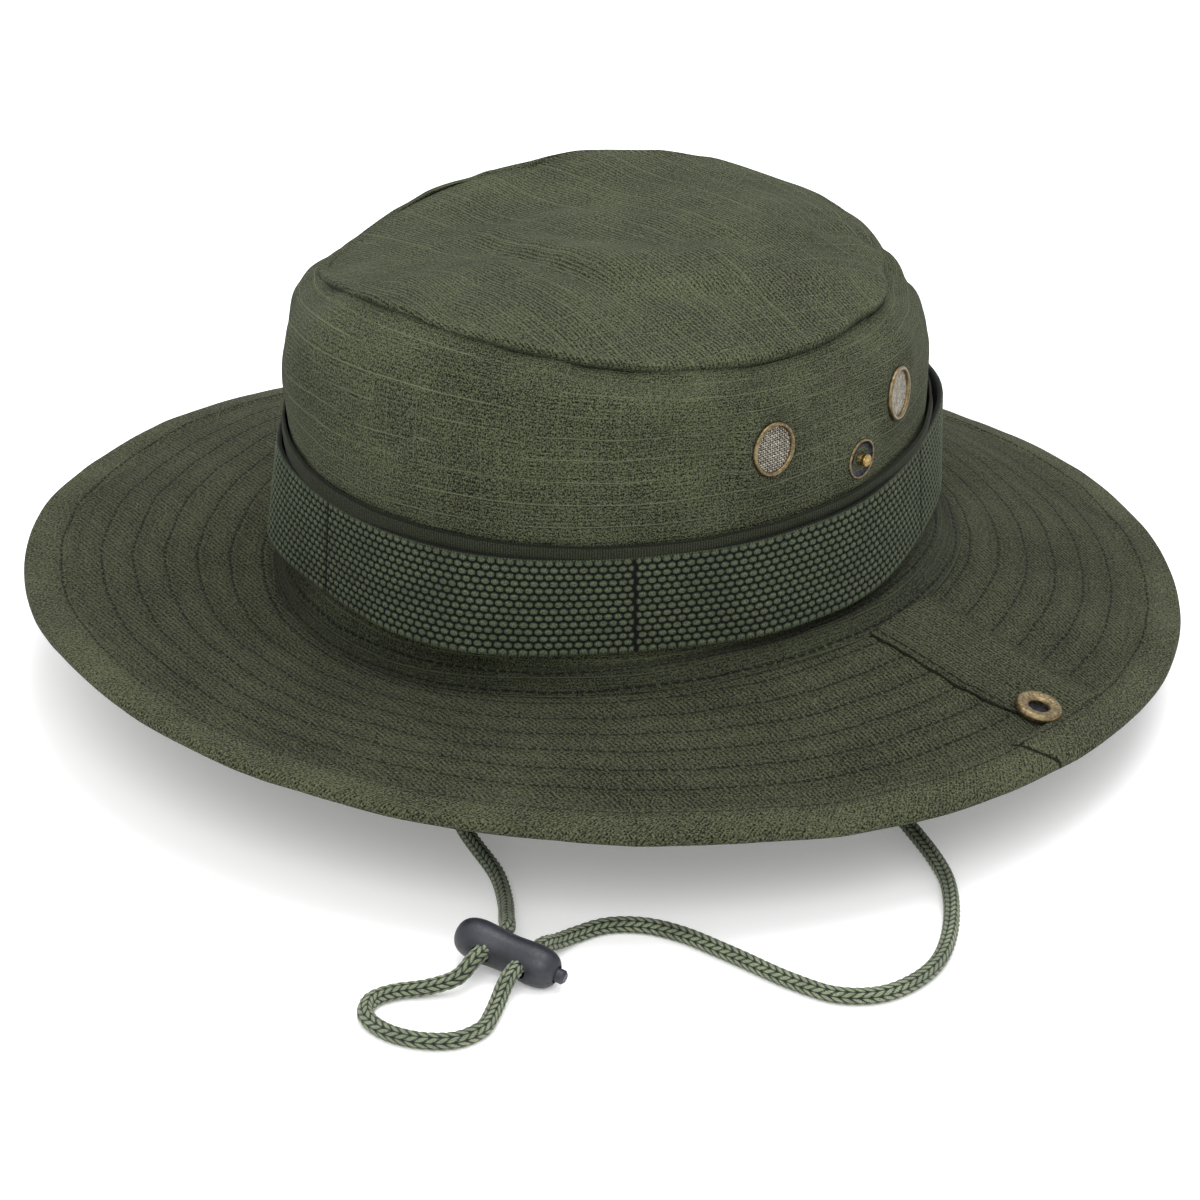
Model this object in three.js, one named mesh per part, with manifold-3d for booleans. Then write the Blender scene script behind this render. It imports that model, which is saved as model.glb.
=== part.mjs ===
// Boonie hat with a stitched brim whose left side folds up to a snap, and a chin cord with a toggle.
// Millimetres. The origin is the centre of the head opening, +Z runs up the crown, -Y is the front
// of the hat and +X is the wearer's left, the side with the snap.
import * as THREE from "three";
import { mergeVertices } from "three/addons/utils/BufferGeometryUtils.js";
import Module from "manifold-3d";

const wasm = await Module();
wasm.setup();

// ---------- Driving dimensions ----------
const GAP = 0.3; // clearance between neighbouring pieces
const SEGMENTS = 64; // steps round the hat
const CLOTH = 1.2; // crown cloth with its lining
const UP = new THREE.Vector3(0, 0, 1);

// Each oval is a ring round the hat: half-axes a and b, centre x and y, mean height z, and waves,
// each [lobes, height, direction of the first crest in degrees].
const SEAM_WAVES = [[1, 4.4, 100], [2, 2.9, -28]];
const BAND_WAVES = [[1, 3.2, 103]];
const TOP_WAVES = [[1, 2.6, -80], [2, 4.5, -80], [3, 3, 12]];
const EDGE_WAVES = [[1, 5.6, -126], [2, 1.6, 66]];
const SEAM = { a: 92.2, b: 97.8, x: 3.6, y: 1.5, z: 0, waves: SEAM_WAVES };
const FLARE = { a: 87.5, b: 94.5, x: 2, y: 1, z: 4.2, waves: SEAM_WAVES };
const BAND_FOOT = { a: 83.3, b: 91, x: 0.6, y: 0.4, z: 10, waves: BAND_WAVES };
const BAND_HEAD = { a: 82.8, b: 91, x: 0.6, y: 0.4, z: 36.4, waves: BAND_WAVES };
const WALL_MID = { a: 83.2, b: 93, x: 0.6, y: 0, z: 55, waves: [[1, 2, 20], [2, 1.6, 95]] };
const SHOULDER_WAVES = [[1, 2.2, -70], [2, 3.6, -76], [3, 1.8, 13]];
const SHOULDER = { a: 82.4, b: 89.5, x: 0.6, y: -0.5, z: 71.2, waves: SHOULDER_WAVES };
const TOP_EDGE = { a: 74, b: 79, x: 1, y: 0, z: 79.5, waves: TOP_WAVES };
const DOME_RISE = 7; // height of the top panel's middle above its edge

const BRIM_RADIUS_X = 158;
const BRIM_RADIUS_Y = 159;
const BRIM_DROP = 10.2; // mean height of the brim's edge below the head opening
const BRIM_MARGIN = 4; // seam allowance of the brim under the crown
const PLY = 0.7; // one layer of brim cloth
const CORE = 0.5; // stiffening between the layers
const BINDING_WIDTH = 10.5;
const BINDING_CLOTH = 0.6;

const FOLD_X = 96.3; // chord line on which the side flap folds
const SNAP_Y = -4.5;
const SOCKET_X = 140.8;
const SOCKET_RADIUS = 6.25;
const SOCKET_HOLE = 2.6;
const SOCKET_HEIGHT = 1.9;
const STUD_RADIUS = 5.3;
const STUD_HEIGHT = 3.2; // from the crown cloth to the tip of the knob
const KNOB_RADIUS = 1.75;
const POST_RADIUS = 1.5;
const PATCH_Y = 2.2;
const PATCH_WIDTH = 30.4; // reinforcement strip across the flap at the snap
const PATCH_CLOTH = 0.5;
const PATCH_START = 1.6; // from the fold
const PATCH_SETBACK = 2; // from its end to the binding, which curves away

const BAND_WIDTH = 25.6;
const BAND_CLOTH = 1.3;
const BAND_BOW = 2.2; // how far the webbing stands off between its tacks
const TACKS = [-107, -47, 19, 85, 145, 205]; // directions of the webbing's stitched tacks, degrees
const TAPE_WIDTH = 4.2; // mean width that shows above the webbing, least at the snap
const TAPE_TAPER = 1.6;
const TAPE_CLOTH = 0.8;
const SWEATBAND_HEIGHT = 30;

const VENT_RADIUS = 7.2;
const VENT_BARREL = 6.4;
const VENT_MESH = 5.8;
const VENT_DEPTH = 3.8; // from the cloth's outside to the back of the barrel
// turn: how far the soft wall lets the vent turn to the side, degrees
const VENTS = [
  { direction: -22.3, height: 57, turn: 9 },
  { direction: 9.5, height: 57, turn: 3 },
  { direction: 170.5, height: 53, turn: 0 },
  { direction: 205, height: 51, turn: 0 },
];

const CORD_RADIUS = 2;
const FLOOR = -40; // the surface that the cord lies on
const LIE = FLOOR + CORD_RADIUS;
const ANCHOR_X = 83;
const ANCHOR = { length: 9, width: 12, height: 2.4 };

const TOGGLE = { x: 82.5, y: -151, z: -33.5 };
const TOGGLE_AXIS = new THREE.Vector3(19, 3, -3.2).normalize();
const TOGGLE_RADIUS = 5;
const TOGGLE_HALF = 13.9; // half its whole length
const BORE_RADIUS = 3.3;
const BORE_ENDS = [-12, 11.2];
const PLUNGER_RADIUS = 3;
const PLUNGER_ENDS = [-8.4, 10.9];
const BUTTON_RADIUS = 1.8;
const BUTTON_TIP = 15.9;
const PRESS = 1.8; // travel of the button
const CORD_HOLE = 2.4;
const HOLE_OFFSET = 5; // from the middle of the toggle to each cord hole

// ---------- Finishes ----------
const finish = (color, roughness, metalness = 0) =>
  new THREE.MeshStandardMaterial({ color, roughness, metalness });
const CROWN_CLOTH = finish(0x525640, 0.92);
const BRIM_CLOTH = finish(0x4a4d39, 0.92);
const STIFFENER = finish(0xcfcdc0, 0.95);
const WEBBING = finish(0x414a3a, 0.85);
const TAPE = finish(0x45483a, 0.85);
const SWEATBAND_CLOTH = finish(0x43463a, 0.9);
const BRASS = finish(0x8a6b45, 0.38, 1);
const DARK_METAL = finish(0x34323a, 0.4, 1);
const WIRE = finish(0xc9c6c2, 0.35, 1);
const CORD_FIBRE = finish(0x6f7a4f, 0.8);
const TOGGLE_PLASTIC = finish(0x23252c, 0.45);
const SPRING_STEEL = finish(0x9a9a9c, 0.3, 1);

// ---------- Rings and shells ----------
const radians = THREE.MathUtils.degToRad;

function wave(waves, t) {
  const one = ([lobes, height, crest]) => height * Math.cos(lobes * (t - radians(crest)));
  return waves.reduce((sum, next) => sum + one(next), 0);
}

function onOval(oval, t) {
  const x = oval.x + oval.a * Math.cos(t);
  const y = oval.y + oval.b * Math.sin(t);
  return new THREE.Vector3(x, y, oval.z + wave(oval.waves, t));
}

// Unit vector out of an oval, level with the ground.
function outward(oval, t) {
  return new THREE.Vector3(Math.cos(t) / oval.a, Math.sin(t) / oval.b, 0).normalize();
}

// The point of an oval moved out by "out" and up by "up"; either may be a function of direction.
function shifted(oval, out, up = 0) {
  const value = (v, t) => (typeof v === "function" ? v(t) : v);
  const moved = (t) => onOval(oval, t).addScaledVector(outward(oval, t), value(out, t));
  return (t) => moved(t).addScaledVector(UP, value(up, t));
}

// Two triangles across the shorter diagonal, so that neighbouring layers fold alike.
function quad(positions, a, b, c, d) {
  const point = (i) => new THREE.Vector3().fromArray(positions, 3 * i);
  const straight = point(a).distanceTo(point(c)) <= point(b).distanceTo(point(d));
  return straight ? [a, b, c, a, c, d] : [a, b, d, b, c, d];
}

// A closed band: the rings, functions of direction, follow each other round its cross-section.
function band(rings, segments = SEGMENTS) {
  const positions = [];
  const index = [];
  const count = rings.length;
  for (let i = 0; i < segments; i++) {
    const t = (2 * Math.PI * i) / segments;
    rings.forEach((ring) => positions.push(...ring(t).toArray()));
  }
  for (let i = 0; i < segments; i++) {
    const here = i * count;
    const next = ((i + 1) % segments) * count;
    for (let j = 0; j < count; j++) {
      const k = (j + 1) % count;
      index.push(...quad(positions, here + j, next + j, next + k, here + k));
    }
  }
  return indexed(positions, index);
}

// A closed shell like a lid: outer rings run from the rim to the middle, inner ones follow below.
function lid(outer, inner, segments = SEGMENTS) {
  const rings = [...outer.slice().reverse(), ...inner];
  const last = rings.length - 1;
  const positions = [];
  const index = [];
  for (const ring of rings) {
    for (let i = 0; i < segments; i++) positions.push(...ring((2 * Math.PI * i) / segments).toArray());
  }
  const poles = [middle(rings[0]), middle(rings[last])];
  poles.forEach((pole) => positions.push(...pole.toArray()));
  const pole = rings.length * segments;
  for (let i = 0; i < segments; i++) {
    const n = (i + 1) % segments;
    index.push(pole, i, n);
    index.push(pole + 1, last * segments + n, last * segments + i);
    for (let j = 0; j < last; j++) {
      const a = j * segments;
      const b = a + segments;
      index.push(...quad(positions, a + i, b + i, b + n, a + n));
    }
  }
  return indexed(positions, index);
}

function middle(ring) {
  return ring(0).add(ring(Math.PI / 2)).add(ring(Math.PI)).add(ring(1.5 * Math.PI)).divideScalar(4);
}

function indexed(positions, index) {
  const geometry = new THREE.BufferGeometry();
  geometry.setAttribute("position", new THREE.Float32BufferAttribute(positions, 3));
  geometry.setIndex(index);
  return geometry;
}

// ---------- Cutting and joining ----------
function solid(geometry, matrix = new THREE.Matrix4()) {
  const bare = geometry.clone().applyMatrix4(matrix);
  bare.deleteAttribute("normal");
  bare.deleteAttribute("uv");
  const merged = mergeVertices(bare, 1e-3);
  const vertProperties = new Float32Array(merged.attributes.position.array);
  const triVerts = new Uint32Array(merged.index.array);
  return new wasm.Manifold(new wasm.Mesh({ numProp: 3, vertProperties, triVerts }));
}

function geometryOf(made) {
  const { vertProperties, triVerts } = made.getMesh();
  return indexed(Array.from(vertProperties), Array.from(triVerts));
}

function cut(geometry, cutters) {
  return geometryOf(cutters.reduce((left, cutter) => left.subtract(cutter), solid(geometry)));
}

const FAR = 400;

// Everything beyond x, or before it, as a solid block.
function block(from, to) {
  const geometry = new THREE.BoxGeometry(to - from, FAR, FAR);
  return solid(geometry, new THREE.Matrix4().makeTranslation((from + to) / 2, 0, 0));
}

function split(geometry) {
  const main = solid(geometry).subtract(block(FOLD_X - GAP, FAR));
  const flap = solid(geometry).subtract(block(-FAR, FOLD_X + GAP));
  return [geometryOf(main), geometryOf(flap)];
}

// ---------- Round metal pieces, turned about their own Z ----------
function turned(profile, segments = 24) {
  const points = profile.map(([r, z]) => new THREE.Vector2(r, z));
  return new THREE.LatheGeometry([...points, points[0].clone()], segments).rotateX(Math.PI / 2);
}

function frameAt(point, normal, level = UP) {
  const z = normal.clone().normalize();
  const x = level.clone().cross(z).normalize();
  const y = z.clone().cross(x);
  return new THREE.Matrix4().makeBasis(x, y, z).setPosition(point);
}

function drill(radius, from, to, matrix, segments = 24) {
  const rod = new THREE.CylinderGeometry(radius, radius, to - from, segments).rotateX(Math.PI / 2);
  return solid(rod.translate(0, 0, (from + to) / 2), matrix);
}

// ---------- Assembly ----------
const hat = new THREE.Group();

function add(name, geometry, material, matrix) {
  const mesh = new THREE.Mesh(geometry, material);
  mesh.name = name;
  if (matrix) mesh.applyMatrix4(matrix);
  hat.add(mesh);
}

// ---------- Crown ----------
const WALL = [SEAM, FLARE, BAND_FOOT, BAND_HEAD, WALL_MID, SHOULDER, TOP_EDGE];

// Point of the crown wall's outer surface in a direction, at a height.
function onWall(t, height) {
  const column = WALL.map((oval) => onOval(oval, t));
  const i = column.findIndex((point) => point.z > height) - 1;
  const f = (height - column[i].z) / (column[i + 1].z - column[i].z);
  return column[i].clone().lerp(column[i + 1], f);
}

function wallFrame(t, height) {
  const step = 0.02;
  const point = onWall(t, height);
  const along = onWall(t + step, height).sub(onWall(t - step, height));
  const rise = onWall(t, height + 1).sub(onWall(t, height - 1));
  return frameAt(point, along.cross(rise));
}

function crownWall() {
  const lift = (i) => (i === 0 ? 2 * GAP : 0);
  const outer = WALL.map((oval, i) => shifted(oval, 0, lift(i)));
  const inner = WALL.map((oval, i) => shifted(oval, -CLOTH, lift(i))).reverse();
  return band([...outer, ...inner]);
}

function crownTop() {
  const rim = shifted(TOP_EDGE, -CLOTH - GAP, CLOTH / 2);
  const centre = new THREE.Vector3(TOP_EDGE.x, TOP_EDGE.y, TOP_EDGE.z + DOME_RISE);
  const dome = (f, drop) => (t) => {
    const point = rim(t).lerp(centre, f);
    point.z += DOME_RISE * f * (1 - f) * 1.4 - drop;
    return point;
  };
  const steps = [0, 0.25, 0.5, 0.75, 0.94];
  return lid(steps.map((f) => dome(f, 0)), steps.map((f) => dome(f, CLOTH)));
}

const INSIDE = CLOTH + 2 * GAP;

function sweatband() {
  const thick = 1.2;
  const start = 0.25; // of the way up the flare, clear of the brim's seam allowance
  const foot = (out) => (t) => shifted(SEAM, out)(t).lerp(shifted(FLARE, out)(t), start);
  const wall = [FLARE, BAND_FOOT, { ...BAND_HEAD, z: SWEATBAND_HEIGHT }];
  const outer = wall.map((oval) => shifted(oval, -INSIDE));
  const inner = wall.map((oval) => shifted(oval, -INSIDE - thick)).reverse();
  return band([foot(-INSIDE), ...outer, ...inner, foot(-INSIDE - thick)]);
}

// 0 at the webbing's tacks, 1 midway between them.
function bow(t) {
  const turn = 360;
  const degrees = THREE.MathUtils.radToDeg(t);
  const away = (tack) => Math.abs(((((degrees - tack) % turn) + 1.5 * turn) % turn) - turn / 2);
  const nearest = Math.min(...TACKS.map(away));
  return Math.sin(Math.min(nearest / 30, 1) * Math.PI / 2) ** 2;
}

function webbing() {
  const middleZ = (BAND_FOOT.z + BAND_HEAD.z) / 2;
  const foot = { ...BAND_FOOT, z: middleZ - BAND_WIDTH / 2 };
  const head = { ...BAND_HEAD, z: middleZ + BAND_WIDTH / 2 };
  const near = (t) => 2 * GAP + BAND_BOW * bow(t);
  const far = (t) => near(t) + BAND_CLOTH;
  return band([shifted(foot, near), shifted(foot, far), shifted(head, far), shifted(head, near)]);
}

function tape() {
  const low = { ...BAND_HEAD, z: BAND_HEAD.z + 0.4 };
  const width = (t) => TAPE_WIDTH - TAPE_TAPER * Math.cos(t);
  const top = (t) => onWall(t, onOval(low, t).z + width(t));
  const rise = (t) => top(t).sub(onOval(BAND_HEAD, t)).dot(outward(BAND_HEAD, t));
  const near = 2 * GAP;
  const upper = (out) => shifted(low, (t) => out + rise(t), width);
  return band([shifted(low, near), shifted(low, near + TAPE_CLOTH), upper(near + TAPE_CLOTH), upper(near)]);
}

// ---------- Brim ----------
const EDGE = { a: BRIM_RADIUS_X, b: BRIM_RADIUS_Y, x: 0, y: 0, z: -BRIM_DROP, waves: EDGE_WAVES };

// Point of the brim's top surface, from 0 at the crown seam to 1 at the edge.
function onBrim(t, f) {
  return onOval(SEAM, t).lerp(onOval(EDGE, t), f);
}

// The brim's ring at a fraction of its width, moved by mm along its width and up.
function brimRing(f, along, up) {
  return (t) => {
    const width = onBrim(t, 1).distanceTo(onBrim(t, 0));
    return onBrim(t, f + along / width).addScaledVector(UP, up);
  };
}

const HEM = BINDING_CLOTH + 2 * GAP; // the plies stop this far inside the finished edge

function ply(top, thick, inset) {
  const bottom = top - thick;
  const level = (up) => [shifted(SEAM, -BRIM_MARGIN, up), brimRing(0, 0, up), brimRing(1, -inset, up)];
  return band([...level(bottom), ...level(top).reverse()]);
}

const CORE_TOP = -PLY - GAP;
const LOWER_TOP = CORE_TOP - CORE - GAP;
const BRIM_BOTTOM = LOWER_TOP - PLY;

function binding() {
  const wide = BINDING_WIDTH;
  const over = GAP;
  const under = BRIM_BOTTOM - GAP;
  return band([
    brimRing(1, -wide, over),
    brimRing(1, -HEM + GAP, over),
    brimRing(1, -HEM + GAP, under),
    brimRing(1, -wide, under),
    brimRing(1, -wide, under - BINDING_CLOTH),
    brimRing(1, -BINDING_CLOTH, under - BINDING_CLOTH),
    brimRing(1, 0, under),
    brimRing(1, 0, over),
    brimRing(1, -BINDING_CLOTH, over + BINDING_CLOTH),
    brimRing(1, -wide, over + BINDING_CLOTH),
  ]);
}

// Direction and width fraction of the brim point above x, y.
function brimAt(x, y) {
  let t = Math.atan2(y, x);
  let f = 0.5;
  for (let i = 0; i < 40; i++) {
    const point = onBrim(t, f);
    t += Math.atan2(y, x) - Math.atan2(point.y, point.x);
    f += (Math.hypot(x, y) - Math.hypot(point.x, point.y)) / onBrim(t, 1).distanceTo(onBrim(t, 0));
  }
  return onBrim(t, f);
}

function brimFrame(x, y) {
  const along = brimAt(x + 1, y).sub(brimAt(x - 1, y));
  const across = brimAt(x, y + 1).sub(brimAt(x, y - 1));
  return frameAt(brimAt(x, y), along.cross(across), new THREE.Vector3(0, 1, 0));
}

function patch() {
  const rise = GAP;
  const from = FOLD_X + PATCH_START;
  const to = BRIM_RADIUS_X - BINDING_WIDTH - PATCH_SETBACK;
  const columns = 6;
  const rows = 3;
  const positions = [];
  const index = [];
  const at = (i, j, layer) => (layer * (columns + 1) + i) * (rows + 1) + j;
  for (let layer = 0; layer < 2; layer++) {
    for (let i = 0; i <= columns; i++) {
      for (let j = 0; j <= rows; j++) {
        const x = from + ((to - from) * i) / columns;
        const y = PATCH_Y + PATCH_WIDTH * (j / rows - 0.5);
        positions.push(x, y, brimAt(x, y).z + rise + layer * PATCH_CLOTH);
      }
    }
  }
  const side = (...corners) => index.push(...quad(positions, ...corners));
  for (let i = 0; i < columns; i++) {
    for (let j = 0; j < rows; j++) {
      side(at(i, j, 1), at(i + 1, j, 1), at(i + 1, j + 1, 1), at(i, j + 1, 1));
      side(at(i, j, 0), at(i, j + 1, 0), at(i + 1, j + 1, 0), at(i + 1, j, 0));
    }
  }
  for (let i = 0; i < columns; i++) {
    side(at(i, 0, 0), at(i + 1, 0, 0), at(i + 1, 0, 1), at(i, 0, 1));
    side(at(i, rows, 0), at(i, rows, 1), at(i + 1, rows, 1), at(i + 1, rows, 0));
  }
  for (let j = 0; j < rows; j++) {
    side(at(0, j, 0), at(0, j, 1), at(0, j + 1, 1), at(0, j + 1, 0));
    side(at(columns, j, 0), at(columns, j + 1, 0), at(columns, j + 1, 1), at(columns, j, 1));
  }
  return indexed(positions, index);
}

// ---------- Snap ----------
// The stud's height up the crown puts its knob at the socket's distance from the fold.
const FOLD_Z = brimAt(FOLD_X, SNAP_Y).z;
const SOCKET_POINT = brimAt(SOCKET_X, SNAP_Y);

function studHeight() {
  const reach = Math.hypot(SOCKET_POINT.x - FOLD_X, SOCKET_POINT.z - FOLD_Z);
  let height = 45;
  for (let i = 0; i < 10; i++) {
    const tip = onWall(0, height).x + STUD_HEIGHT;
    height = FOLD_Z + Math.sqrt(reach ** 2 - (FOLD_X - tip) ** 2);
  }
  return height;
}

const STUD_FRAME = wallFrame(Math.asin(SNAP_Y / BAND_HEAD.b), studHeight());
const SOCKET_FRAME = brimFrame(SOCKET_X, SNAP_Y);
const SOCKET_SEAT = GAP + PATCH_CLOTH + GAP; // underside of the socket above the brim's top surface

function socket() {
  const low = SOCKET_SEAT;
  const high = low + SOCKET_HEIGHT;
  const wall = [[SOCKET_HOLE, low], [SOCKET_RADIUS, low], [SOCKET_RADIUS, high - 0.5]];
  const profile = [...wall, [SOCKET_RADIUS - 0.6, high]];
  return turned([...profile, [SOCKET_HOLE + 0.9, high], [SOCKET_HOLE, high - 0.6]]);
}

function cap() {
  const high = BRIM_BOTTOM - GAP - 0.1;
  const rim = [[SOCKET_RADIUS, high - 0.4], [SOCKET_RADIUS, high]];
  const dome = [[0, high - 1.5], [3.2, high - 1.4], [5.4, high - 1], ...rim];
  const post = [[POST_RADIUS, high], [POST_RADIUS, SOCKET_SEAT - GAP], [0, SOCKET_SEAT - GAP]];
  return turned([...dome, ...post]);
}

function stud() {
  const low = GAP;
  const base = [[0, low], [STUD_RADIUS, low], [STUD_RADIUS, low + 0.9], [STUD_RADIUS - 0.6, low + 0.9]];
  const dish = [[STUD_RADIUS - 0.9, low + 0.5], [KNOB_RADIUS, low + 0.5]];
  const neck = [KNOB_RADIUS - 0.3, low + 1.6];
  const knob = [neck, [KNOB_RADIUS, STUD_HEIGHT - 0.6], [KNOB_RADIUS - 0.5, STUD_HEIGHT]];
  return turned([...base, ...dish, ...knob, [0, STUD_HEIGHT]]);
}

// Backing plate inside the crown, with the post that comes out to the stud.
function studBack() {
  const high = -CLOTH - 2 * GAP;
  const plate = [[0, high - 1], [STUD_RADIUS, high - 1], [STUD_RADIUS, high]];
  return turned([...plate, [POST_RADIUS, high], [POST_RADIUS, 0], [0, 0]]);
}

// ---------- Vents ----------
function ventRing(turn) {
  const low = GAP + VENT_RADIUS * Math.sin(radians(turn));
  const lip = [[VENT_RADIUS, low], [VENT_RADIUS, low + 0.5], [VENT_RADIUS - 0.6, low + 0.9]];
  const groove = [[VENT_MESH + 0.2, low + 0.9], [VENT_MESH + 0.2, 0.8]];
  const inner = [...groove, [VENT_MESH + GAP, 0.5], [VENT_MESH + GAP, -VENT_DEPTH]];
  return turned([...lip, ...inner, [VENT_BARREL, -VENT_DEPTH], [VENT_BARREL, low]]);
}

function ventMesh() {
  return turned([[0, -0.6], [VENT_MESH, -0.6], [VENT_MESH, -0.2], [0, -0.2]]);
}

function ventWasher() {
  const high = 0.7 - VENT_DEPTH;
  const hole = VENT_BARREL + GAP;
  return turned([[hole, high - 0.5], [VENT_RADIUS, high - 0.5], [VENT_RADIUS, high], [hole, high]]);
}

const VENT_FRAMES = VENTS.map(({ direction, height, turn }) => {
  const sideways = new THREE.Matrix4().makeRotationY(radians(turn));
  return wallFrame(radians(direction), height).multiply(sideways);
});

// ---------- Chin cord and toggle ----------
const ACROSS = new THREE.Vector3(TOGGLE_AXIS.y, -TOGGLE_AXIS.x, 0).normalize(); // the cords' way through
const TOGGLE_CENTRE = new THREE.Vector3(TOGGLE.x, TOGGLE.y, TOGGLE.z);
const TOGGLE_FRAME = new THREE.Matrix4()
  .makeBasis(TOGGLE_AXIS, ACROSS.clone().negate(), TOGGLE_AXIS.clone().cross(ACROSS.clone().negate()))
  .setPosition(TOGGLE_CENTRE);

// Point of a cord hole's axis: side -1 or 1, mm along the hole.
function inHole(side, along) {
  return TOGGLE_CENTRE.clone().addScaledVector(TOGGLE_AXIS, side * HOLE_OFFSET).addScaledVector(ACROSS, along);
}

// A cord through the points, no lower than where it rests on the ground.
function tube(points, steps) {
  const sides = 8;
  const samples = 60;
  const hung = new THREE.CatmullRomCurve3(points, false, "centripetal").getSpacedPoints(samples);
  const resting = hung.map((p) => p.setZ(Math.max(p.z, LIE)));
  const path = new THREE.CatmullRomCurve3(resting, false, "centripetal");
  const section = new THREE.Shape();
  for (let i = 0; i < sides; i++) {
    const turn = (2 * Math.PI * i) / sides;
    const [x, y] = [CORD_RADIUS * Math.cos(turn), CORD_RADIUS * Math.sin(turn)];
    if (i === 0) section.moveTo(x, y);
    else section.lineTo(x, y);
  }
  return new THREE.ExtrudeGeometry(section, { steps, extrudePath: path });
}

const at = (x, y, z = LIE) => new THREE.Vector3(x, y, z);
const ANCHOR_TOP = BRIM_BOTTOM - 2.5;
const CORD_START = ANCHOR_TOP - ANCHOR.height - GAP;
const THROUGH = 8; // the cord runs straight this far each side of the toggle's middle

const RIGHT_STRAND = [
  at(-ANCHOR_X, 0, CORD_START),
  at(-83, -1, CORD_START - 8),
  at(-80, -5, -27),
  at(-72, -13, -35.5),
  at(-60, -24),
  at(-14, -60),
  at(29, -101),
  at(53.4, -117.2),
  at(63.2, -126.8, -37.3),
  at(70.6, -136, -35),
  inHole(-1, -THROUGH),
  inHole(-1, -GAP / 2),
];
const LOOP = [
  inHole(-1, GAP / 2),
  inHole(-1, THROUGH),
  at(78, -164.8, -35.3),
  at(73.4, -170, -37.2),
  at(68, -175.4),
  at(65.8, -182.4),
  at(69.6, -188.6),
  at(77.6, -190.9),
  at(86.2, -189),
  at(92.6, -183.8),
  at(94.4, -176.4),
  at(92.2, -169, -37.4),
  inHole(1, THROUGH),
  inHole(1, GAP / 2),
];
const LEFT_STRAND = [
  inHole(1, -GAP / 2),
  inHole(1, -THROUGH),
  at(85.6, -135.6, -36.5),
  at(86.3, -127.6, -37.8),
  at(89.6, -120),
  at(96.6, -114.6),
  at(106, -112.4),
  at(122, -112.9),
  at(140, -114.2),
  at(152, -112.9),
  at(160, -106.5),
  at(163.5, -95),
  at(161.5, -80),
  at(144.5, -51),
  at(116, -28.5),
  at(103, -19.5, -37.2),
  at(93, -10.5, -32.5),
  at(86, -3.5, -23),
  at(ANCHOR_X, -0.5, CORD_START - 7),
  at(ANCHOR_X, 0, CORD_START),
];

function anchor(x) {
  const box = new THREE.BoxGeometry(ANCHOR.length, ANCHOR.width, ANCHOR.height);
  return box.translate(x, 0, ANCHOR_TOP - ANCHOR.height / 2);
}

// Rotates a geometry made about Z so that it lies along the toggle's own X.
const lengthways = (geometry) => geometry.rotateY(Math.PI / 2);

function toggleBody() {
  const straight = 2 * (TOGGLE_HALF - TOGGLE_RADIUS);
  const capsule = new THREE.CapsuleGeometry(TOGGLE_RADIUS, straight, 6, 24).rotateZ(Math.PI / 2);
  const along = new THREE.Matrix4().makeRotationY(Math.PI / 2);
  const across = (x) => new THREE.Matrix4().makeRotationX(Math.PI / 2).setPosition(x, 0, 0);
  return cut(capsule, [
    drill(BORE_RADIUS, ...BORE_ENDS, along),
    drill(BUTTON_RADIUS + GAP, 0, FAR, along),
    drill(CORD_HOLE, -FAR, FAR, across(-HOLE_OFFSET)),
    drill(CORD_HOLE, -FAR, FAR, across(HOLE_OFFSET)),
  ]);
}

function slot(from, to) {
  const reach = 2 * BORE_RADIUS;
  const box = new THREE.BoxGeometry(to - from, reach, 2 * CORD_HOLE);
  return solid(box.translate((from + to) / 2, 0, 0));
}

function plunger() {
  const [low, high] = PLUNGER_ENDS;
  const tip = [[BUTTON_RADIUS, BUTTON_TIP - 0.6], [BUTTON_RADIUS - 0.6, BUTTON_TIP], [0, BUTTON_TIP]];
  const rod = [[0, low], [PLUNGER_RADIUS, low], [PLUNGER_RADIUS, high], [BUTTON_RADIUS, high], ...tip];
  const edges = (side) => [side * HOLE_OFFSET - CORD_HOLE, side * HOLE_OFFSET + CORD_HOLE + PRESS];
  return cut(lengthways(turned(rod)), [slot(...edges(-1)), slot(...edges(1))]);
}

function spring() {
  const wire = 0.4;
  const radius = 2.3;
  const turns = 1.5;
  const pitch = 0.5;
  const start = BORE_ENDS[0] + wire + GAP;
  const points = [];
  for (let i = 0; i <= 18; i++) {
    const turn = (i / 18) * turns * 2 * Math.PI;
    const x = start + (pitch * turn) / (2 * Math.PI);
    points.push(new THREE.Vector3(x, radius * Math.cos(turn), radius * Math.sin(turn)));
  }
  const section = new THREE.Shape().absarc(0, 0, wire / 2, 0, 2 * Math.PI);
  const path = new THREE.CatmullRomCurve3(points);
  return new THREE.ExtrudeGeometry(section, { steps: 36, extrudePath: path, curveSegments: 3 });
}

// ---------- Put together ----------
const studHole = drill(POST_RADIUS + GAP, -10, 10, STUD_FRAME);
const ventHoles = VENT_FRAMES.map((frame) => drill(VENT_BARREL + GAP, -10, 10, frame));
const backHole = drill(STUD_RADIUS + GAP, -20, -CLOTH - GAP, STUD_FRAME);
const capHole = drill(POST_RADIUS + GAP, -20, 20, SOCKET_FRAME);

add("crown_top", crownTop(), CROWN_CLOTH);
add("crown_side", cut(crownWall(), [studHole, ...ventHoles]), CROWN_CLOTH);
add("sweatband", cut(sweatband(), [backHole]), SWEATBAND_CLOTH);
add("webbing_band", webbing(), WEBBING);
add("band_tape", tape(), TAPE);

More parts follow.
